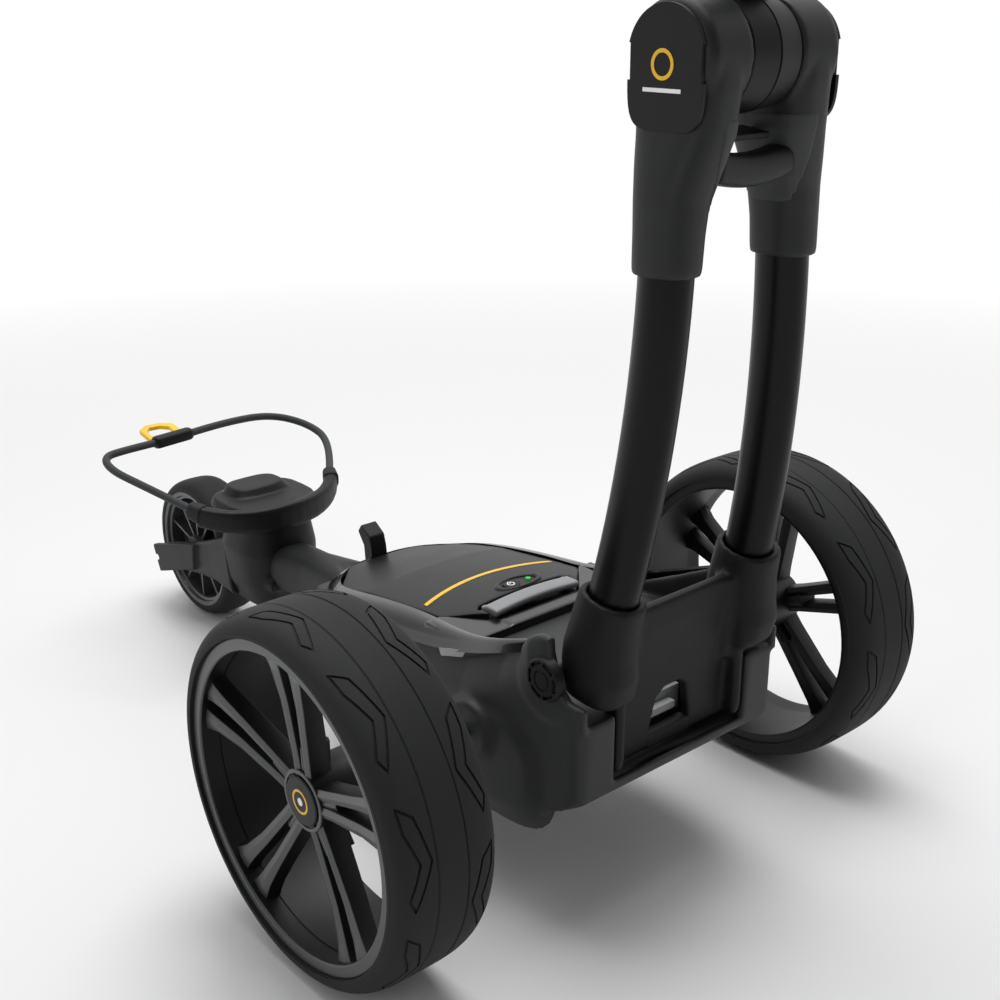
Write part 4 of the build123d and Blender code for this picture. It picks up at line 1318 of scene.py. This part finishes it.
    def pad(self) -> Mesh:
        """The soft grey pad that wraps the inner side of the right sleeve.

        Returns:
            The mesh, in millimetres.
        """
        sleeve = stack([((57.6, -142.4, 560), (21.0, 24.6), 2.5), ((56.6, -142, 572), (21.4, 25.8), 2.6),
                        ((51.6, -142, 592), (22.2, 29.8), 2.8), ((46.2, -142, 612), (21.6, 33.8), 3.2),
                        ((45.2, -142, 622), (21.0, 34.6), 3.2)], 64)
        for spot, way in (((46, 0, 0), (1, 0, 0)), ((46, -142, 566), (0.5, 0, -1))):
            geometry = list(sleeve.verts) + list(sleeve.edges) + list(sleeve.faces)
            bmesh.ops.bisect_plane(sleeve, geom=geometry, plane_co=spot, plane_no=way, clear_outer=True)
        bmesh.ops.holes_fill(sleeve, edges=[edge for edge in sleeve.edges if edge.is_boundary], sides=0)
        bmesh.ops.recalc_face_normals(sleeve, faces=sleeve.faces)
        return moulded([sleeve], [block((-30, -230, 500), (self.cheek_in + 0.2, -60, 720))], 1.3, 3)

    def mark(self, side: Side) -> tuple[Mesh, Mesh]:
        """A plain printed ring and bar on the cover plate.

        Args:
            side: the side that it is made for.

        Returns:
            The two meshes, in millimetres.
        """
        y, z = self.head
        x = side.value * (self.cover_x + 3.0)
        out = side.value * 0.3
        ring = lathe([(x, 7.0), (x + out, 7.0), (x + out, 9.4), (x, 9.4)], (0, y + 2, z - 4), 48)
        corners = [(-14, -18), (18, -18), (18, -20.5), (-14, -20.5)]
        bar = plate([(x, y + right, z + up) for right, up in corners], (out, 0, 0))
        return ring, bar

    def build(self) -> None:
        """Place the yoke, head and their trim."""
        # The yoke and its sill wear the darker copy of the ABS: painted shade.
        place("moulded_yoke", self.yoke(), YOKE_PAINTED_SHADE, "black_plastic", "frame", ["yoke"], angle=60)
        place("window_sill", self.ledge(), YOKE_PAINTED_SHADE, "black_plastic", "frame", angle=60)
        cheek = self.cheek()
        pad = self.pad()
        cover = self.cover()
        for side in Side:
            word = side.word
            handed = Mesh.copy if side is Side.RIGHT else mirrored
            place(f"{word}_cheek", handed(cheek), CHARCOAL, "black_plastic", "frame", [f"{word}_head_cheek"],
                  angle=60)
            place(f"{word}_grip_pad", handed(pad), SOFT_GREY, "soft_grey", "frame", angle=40)
            place(f"{word}_cover", handed(cover), DARK, "black_plastic", "frame", [f"{word}_head_cover"],
                  bevel=0.8)
            ring, bar = self.mark(side)
            place(f"{word}_cover_ring_print", ring, YELLOW, "yellow", "frame")
            place(f"{word}_cover_bar_print", bar, WHITE_INK, "handle_grey", "frame")
        place("arched_bridge", self.saddle(), CHARCOAL, "soft_grey", "frame", ["head_saddle"], angle=60)
        dress(TUBE, "left_tube", "right_tube")
        dress(STEEL, "head_pin")
        dress(HANDLE_GREY, "lower_latch")
        dress(DARK, "upper_latch")
        for node in ("left_tube", "right_tube"):
            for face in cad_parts[node].data.polygons:
                face.use_smooth = True
            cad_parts[node].data.set_sharp_from_angle(angle=radians(40))


# ------------------------------------------------------------------ upper arm
@dataclass
class UpperArm:
    """Pivot barrel, leaning column, bag support, handle and display."""

    lean: float = 35.0
    offset: float = 26.0
    length: float = 395.0
    head: tuple[float, float] = HEAD
    barrel_radius: float = 37.0
    barrel_half: float = 24.2

    def local(self) -> Matrix:
        """Axes of the leaning arm: Z along it, Y in front of it.

        Returns:
            The placing matrix.
        """
        y, z = self.head
        return Matrix.Translation((0, y, z)) @ Matrix.Rotation(radians(self.lean), 4, "X")

    def on_arm(self, bm: Mesh) -> Mesh:
        """Move a shape made in the arm's own axes to its place.

        Args:
            bm: the mesh, which is changed or freed.

        Returns:
            The mesh, in millimetres.
        """
        bmesh.ops.transform(bm, matrix=self.local(), verts=bm.verts)
        return bm

    def barrel(self) -> Mesh:
        """The pivot drum with a seam round its middle and stepped ends.

        Returns:
            The mesh, in millimetres.
        """
        r, h = self.barrel_radius, self.barrel_half
        outline = [(-h, 7.5), (-h, r - 4), (-h + 1.5, r - 2.4), (-1.0, r - 0.2), (-0.5, r - 1.4),
                   (0.5, r - 1.4), (1.0, r - 0.2), (h - 1.5, r - 2.4), (h, r - 4), (h, 7.5)]
        return lathe(outline, (0, *self.head), 96)

    def column(self) -> Mesh:
        """The upper column, oval and slightly waisted.

        Returns:
            The mesh, in millimetres.
        """
        o = self.offset
        rows = [((0, o - 8, 22), (17.5, 15), 3.0), ((0, o, 60), (17, 15), 3.0),
                ((0, o, 220), (15.5, 13.5), 2.8), ((0, o, self.length), (17, 15), 3.0)]
        return self.on_arm(moulded([stack(rows)], (), 1.8, 3))

    def support(self) -> Mesh:
        """The curved upper bag support on the front of the column.

        Returns:
            The mesh, in millimetres.
        """
        sections = []
        for index in range(13):
            angle = radians(-44 + 88 * index / 12)
            radius = 80.0
            centre = (radius * sin(angle), self.offset + 112 - radius * cos(angle), 110)
            along, across = (cos(angle), sin(angle), 0), (sin(angle), -cos(angle), 0)
            sections.append(Section(centre, (5.5, 11), 4.0, along, across))
        root = block((-16, self.offset + 10, 101), (16, self.offset + 34, 119))
        return self.on_arm(moulded([loft(sections, 24), root], (), 1.6, 4))

    def handle(self) -> Mesh:
        """The cross bar with rounded ends.

        Returns:
            The mesh, in millimetres.
        """
        top = self.length + 14
        bars = []
        for hand in (-1, 1):
            bars.append(rod((hand * 36, self.offset, top), (hand * 140, self.offset, top), 12, segments=48))
        return self.on_arm(joined(bars))

    def grips(self) -> Mesh:
        """Two ringed rubber grips.

        Returns:
            The mesh, in millimetres.
        """
        top = self.length + 14
        outline = [(44, 12.1), (44, 15.0)]
        for index in range(14):
            x = 48 + 6 * index
            outline += [(x, 15.0), (x + 0.8, 14.0), (x + 2.2, 14.0), (x + 3, 15.0)]
        outline += [(134, 15.0), (135.4, 13.4), (135.4, 12.1)]
        grip = lathe(outline, (0, self.offset, top), 48)
        return self.on_arm(joined([grip, mirrored(grip)]))

    def housing(self) -> Mesh:
        """The display pod with its bezel recess and dial socket.

        Returns:
            The mesh, in millimetres.
        """
        top = self.length + 14
        o = self.offset
        pod = stack([((0, o, top - 27), (30, 17), 3.5), ((0, o, top - 20), (36, 21), 3.8),
                     ((0, o, top + 20), (37, 21.5), 3.8), ((0, o, top + 27), (34, 18), 3.5)], 64)
        recess = block((-25, o - 30, top - 11), (25, o - 18.5, top + 23))
        button = rod((0, o - 30, top - 21), (0, o - 14, top - 21), 5.6)
        dial = rod((0, o, top + 21), (0, o, top + 40), 13.8)
        return self.on_arm(moulded([pod], [recess, button, dial], 1.5, 4))

    def build(self) -> None:
        """Place the arm's pieces."""
        place("pivot_drum", self.barrel(), DARK, "black_plastic", "handle", ["pivot_barrel"])
        place("leaning_column", self.column(), TUBE, "tube_black", "handle", ["upper_column"], angle=60)
        place("upper_bag_rest", self.support(), DARK, "black_plastic", "handle", ["upper_bag_support"],
              angle=60)
        place("cross_bar", self.handle(), TUBE, "tube_black", "handle", ["handle_bar"], bevel=1.5)
        place("ringed_grips", self.grips(), RUBBER, "rubber", "handle", ["hand_grips"])
        place("display_pod", self.housing(), DARK, "black_plastic", "handle", ["display_housing"], angle=60)
        dress(RUBBER, "support_pads", "speed_dial")
        dress(DISPLAY, "display_lens")
        dress(HANDLE_GREY, "handle_button")


# ------------------------------------------------------------------ battery
@dataclass
class Battery:
    """The battery pack in the tray: convex lid, stripe, button, light and carry handle."""

    handle_half: float = 48.0
    stripe_half: float = 73.0
    stripe_y: float = 113.0
    arch: float = 6.0

    def crown(self, x: float, y: float) -> float:
        """Height of the lid's top, arched along its length and across its width.

        Args:
            x: distance from the middle plane, in millimetres.
            y: place along the trolley, in millimetres.

        Returns:
            The value, in millimetres.
        """
        knots = [(46, 212.5), (62, 213.0), (114, 208.0), (190, 198.0), (280, 179.0)]
        top = knots[-1][1]
        for (y0, z0), (y1, z1) in zip(knots, knots[1:]):
            if y <= y1:
                top = z0 + (z1 - z0) * (y - y0) / (y1 - y0)
                break
        return top - self.arch * (x / 80) ** 2

    def lid(self) -> Mesh:
        """The lid, arched across its width, with softened edges and an oval pad.

        Returns:
            The mesh, in millimetres.
        """
        bm = baked(from_cad("battery_lid"), [("REMESH", {"mode": "VOXEL", "voxel_size": 1.5}),
                                             ("SMOOTH", {"factor": 0.5, "iterations": 6})])
        for vert in bm.verts:
            share = clamped((vert.co.z - self.crown(0, vert.co.y) + 9) / 9)
            vert.co.z -= share * self.arch * (vert.co.x / 80) ** 2
        ring = lathe([(0, 13.5), (1.0, 13.0), (1.4, 11.8), (1.0, 10.6), (0, 10.1)], (0, 0, 0), 64)
        bmesh.ops.rotate(ring, cent=(0, 0, 0), matrix=Matrix.Rotation(-pi / 2, 3, "Y"), verts=ring.verts)
        bmesh.ops.scale(ring, vec=(1.9, 1.0, 1.0), verts=ring.verts)
        bmesh.ops.translate(ring, vec=(9, 85, self.crown(9, 85) - 0.1), verts=ring.verts)
        for vert in ring.verts:
            vert.co.z += self.crown(9, vert.co.y) - self.crown(9, 85)
        return joined([bm, ring])

    def stripe(self) -> Mesh:
        """The thin printed stripe that arcs across the lid.

        Returns:
            The mesh, in millimetres.
        """
        sections = []
        for index in range(25):
            x = -self.stripe_half + 2 * self.stripe_half * index / 24
            y = self.stripe_y + 13 * (1 - (x / self.stripe_half) ** 2)
            sections.append(Section((x, y, self.crown(x, y) + 0.2), (2.6, 0.4), 4.0, (1, 0, -0.1 * x / 74),
                                    (0, 1, -0.12)))
        return loft(sections, 8)

    def icon(self) -> Mesh:
        """A plain stand-by symbol: an open ring with a bar.

        Returns:
            The mesh, in millimetres.
        """
        bm = lathe([(0, 2.6), (0.5, 2.6), (0.5, 3.7), (0, 3.7)], (0, 0, 0), 32)
        bmesh.ops.rotate(bm, cent=(0, 0, 0), matrix=Matrix.Rotation(-pi / 2, 3, "Y"), verts=bm.verts)
        bmesh.ops.translate(bm, vec=(0, 84, 211.6), verts=bm.verts)
        return joined([bm, block((-0.6, 84.5, 211.4), (0.6, 88.6, 212.1))])

    def handle(self) -> Mesh:
        """The broad grey carry handle, slightly bowed towards the front.

        Returns:
            The mesh, in millimetres.
        """
        half = self.handle_half
        rows = []
        for index in range(17):
            x = -half + 2 * half * index / 16
            bow = 1 - (x / half) ** 2
            rows.append(((x, 55.5 + 2.5 * bow, 209.5 + 1.5 * bow), (8.6, 3.4), 4.0))
        arms = [block((low, 56, 206), (low + 6, 68, 211)) for low in (-half, half - 6)]
        return moulded([stack(rows, 24, (1, 0, 0), (0, 1, 0)), *arms], (), 1.1, 3)

    def build(self) -> None:
        """Place the pack's pieces."""
        place("convex_lid", self.lid(), LID, "dark_plastic", "battery", ["battery_lid"], angle=60)
        place("arc_stripe_print", self.stripe(), YELLOW, "yellow", "battery")
        place("stand_by_print", self.icon(), WHITE_INK, "handle_grey", "battery_button")
        place("carry_handle", self.handle(), HANDLE_GREY, "handle_grey", "battery_handle", ["battery_handle"],
              angle=60)
        dress(DARK, "battery_case", "battery_button")
        dress(GREEN, "battery_light")
        dress(CELL, "battery_cells")


# ------------------------------------------------------------------ studio
@dataclass
class Studio:
    """Pale floor, soft lights and the camera."""

    eye: Point = (-719.04, -750.54, 699.10)
    azimuth: float = -41.329
    down: float = 22.316
    roll: float = -0.233
    lens: float = 49.23
    shift: tuple[float, float] = (-0.0235, 0.0468)

    def camera(self) -> None:
        """Set the camera behind and to the left of the trolley."""
        a, e, r = radians(self.azimuth), radians(self.down), radians(self.roll)
        back = Vector((sin(a) * cos(e), -cos(a) * cos(e), sin(e)))
        right = Vector((cos(a), sin(a), 0))
        up = back.cross(right)
        right, up = right * cos(r) + up * sin(r), up * cos(r) - right * sin(r)
        turn = Matrix((right, up, back)).transposed().to_4x4()
        data = bpy.data.cameras.new("camera")
        data.lens = self.lens
        data.sensor_width = 36
        data.shift_x, data.shift_y = self.shift
        data.clip_end = 50
        eye = bpy.data.objects.new("camera", data)
        eye.matrix_world = Matrix.Translation(TO_ROW @ Vector(self.eye)) @ turn
        bpy.context.scene.collection.objects.link(eye)
        bpy.context.scene.camera = eye

    def lamp(self, name: str, spot: Point, aim: Point, size: float, power: float) -> None:
        """Add one soft area light.

        Args:
            name: the light's name.
            spot: where it is, in metres.
            aim: what it points at, in metres.
            size: its edge in metres.
            power: its watts.
        """
        data = bpy.data.lights.new(name, "AREA")
        data.size = size
        data.energy = power
        lamp = bpy.data.objects.new(name, data)
        lamp.location = spot
        lamp.rotation_euler = (Vector(spot) - Vector(aim)).to_track_quat("Z", "Y").to_euler()
        bpy.context.scene.collection.objects.link(lamp)

    def floor(self) -> None:
        """A large pale floor under the trolley."""
        bm = bmesh.new()
        bmesh.ops.create_grid(bm, x_segments=2, y_segments=2, size=12)
        mesh = bpy.data.meshes.new("floor")
        bm.to_mesh(mesh)
        bm.free()
        mesh.materials.append(self.pale())
        ground = bpy.data.objects.new("floor", mesh)
        bpy.context.scene.collection.objects.link(ground)

    def pale(self) -> bpy.types.Material:
        """A matt white that turns to plain white away from the trolley.

        Returns:
            The material.
        """
        skin = Finish("matt_white_paint", "#ebebeb", 0.7, mottle=0.0).build()
        tree = skin.node_tree
        matt = next(node for node in tree.nodes if node.type == "BSDF_PRINCIPLED")
        out = next(node for node in tree.nodes if node.type == "OUTPUT_MATERIAL")
        spot = add_node(tree, "ShaderNodeTexCoord", {}, {})
        apart = add_node(tree, "ShaderNodeVectorMath", {"operation": "LENGTH"},
                         {"Vector": spot.outputs["Object"]})
        share = add_node(tree, "ShaderNodeMapRange", {"From Min": 0.95, "From Max": 2.4},
                         {"Value": apart.outputs["Value"]})
        glow = add_node(tree, "ShaderNodeEmission", {"Color": (1, 1, 1, 1), "Strength": 1.0}, {})
        mix = add_node(tree, "ShaderNodeMixShader", {}, {"Fac": share.outputs["Result"]})
        tree.links.new(matt.outputs["BSDF"], mix.inputs[1])
        tree.links.new(glow.outputs["Emission"], mix.inputs[2])
        tree.links.new(mix.outputs["Shader"], out.inputs["Surface"])
        return skin

    def build(self) -> None:
        """Make the whole studio."""
        self.camera()
        self.floor()
        self.sky()
        self.lamp("overhead", (0.4, 0.3, 3.0), (0, 0, 0), 2.0, 60)
        self.lamp("left_fill", (-2.6, -0.6, 1.5), (0, 0, 0.3), 1.0, 10)

    def sky(self) -> None:
        """A white surround beyond the trolley that dims behind the viewer."""
        world = bpy.data.worlds.new("studio")
        world.use_nodes = True
        tree = world.node_tree
        place = add_node(tree, "ShaderNodeTexCoord", {}, {})
        facing = add_node(tree, "ShaderNodeVectorMath", {"operation": "DOT_PRODUCT"}, {})
        tree.links.new(place.outputs["Generated"], facing.inputs[0])
        facing.inputs[1].default_value = (-sin(radians(self.azimuth)), cos(radians(self.azimuth)), 0.15)
        level = add_node(tree, "ShaderNodeMapRange",
                         {"From Min": -0.5, "From Max": 0.65, "To Min": 0.03, "To Max": 1.0},
                         {"Value": facing.outputs["Value"]})
        back = tree.nodes["Background"]
        back.inputs["Color"].default_value = (1, 1, 1, 1)
        tree.links.new(level.outputs["Result"], back.inputs["Strength"])
        bpy.context.scene.world = world


def main() -> None:
    logging.basicConfig(level=logging.INFO, format="%(message)s")
    bpy.context.scene.view_settings.view_transform = "Standard"
    Studio().build()
    BagStrap().build()
    for side in Side:
        RearWheel(side).build()
    FrontWheel().build()
    Chassis().build()
    FrontEnd().build()
    FoldingFrame().build()
    UpperArm().build()
    Battery().build()


if __name__ == "__main__":
    main()
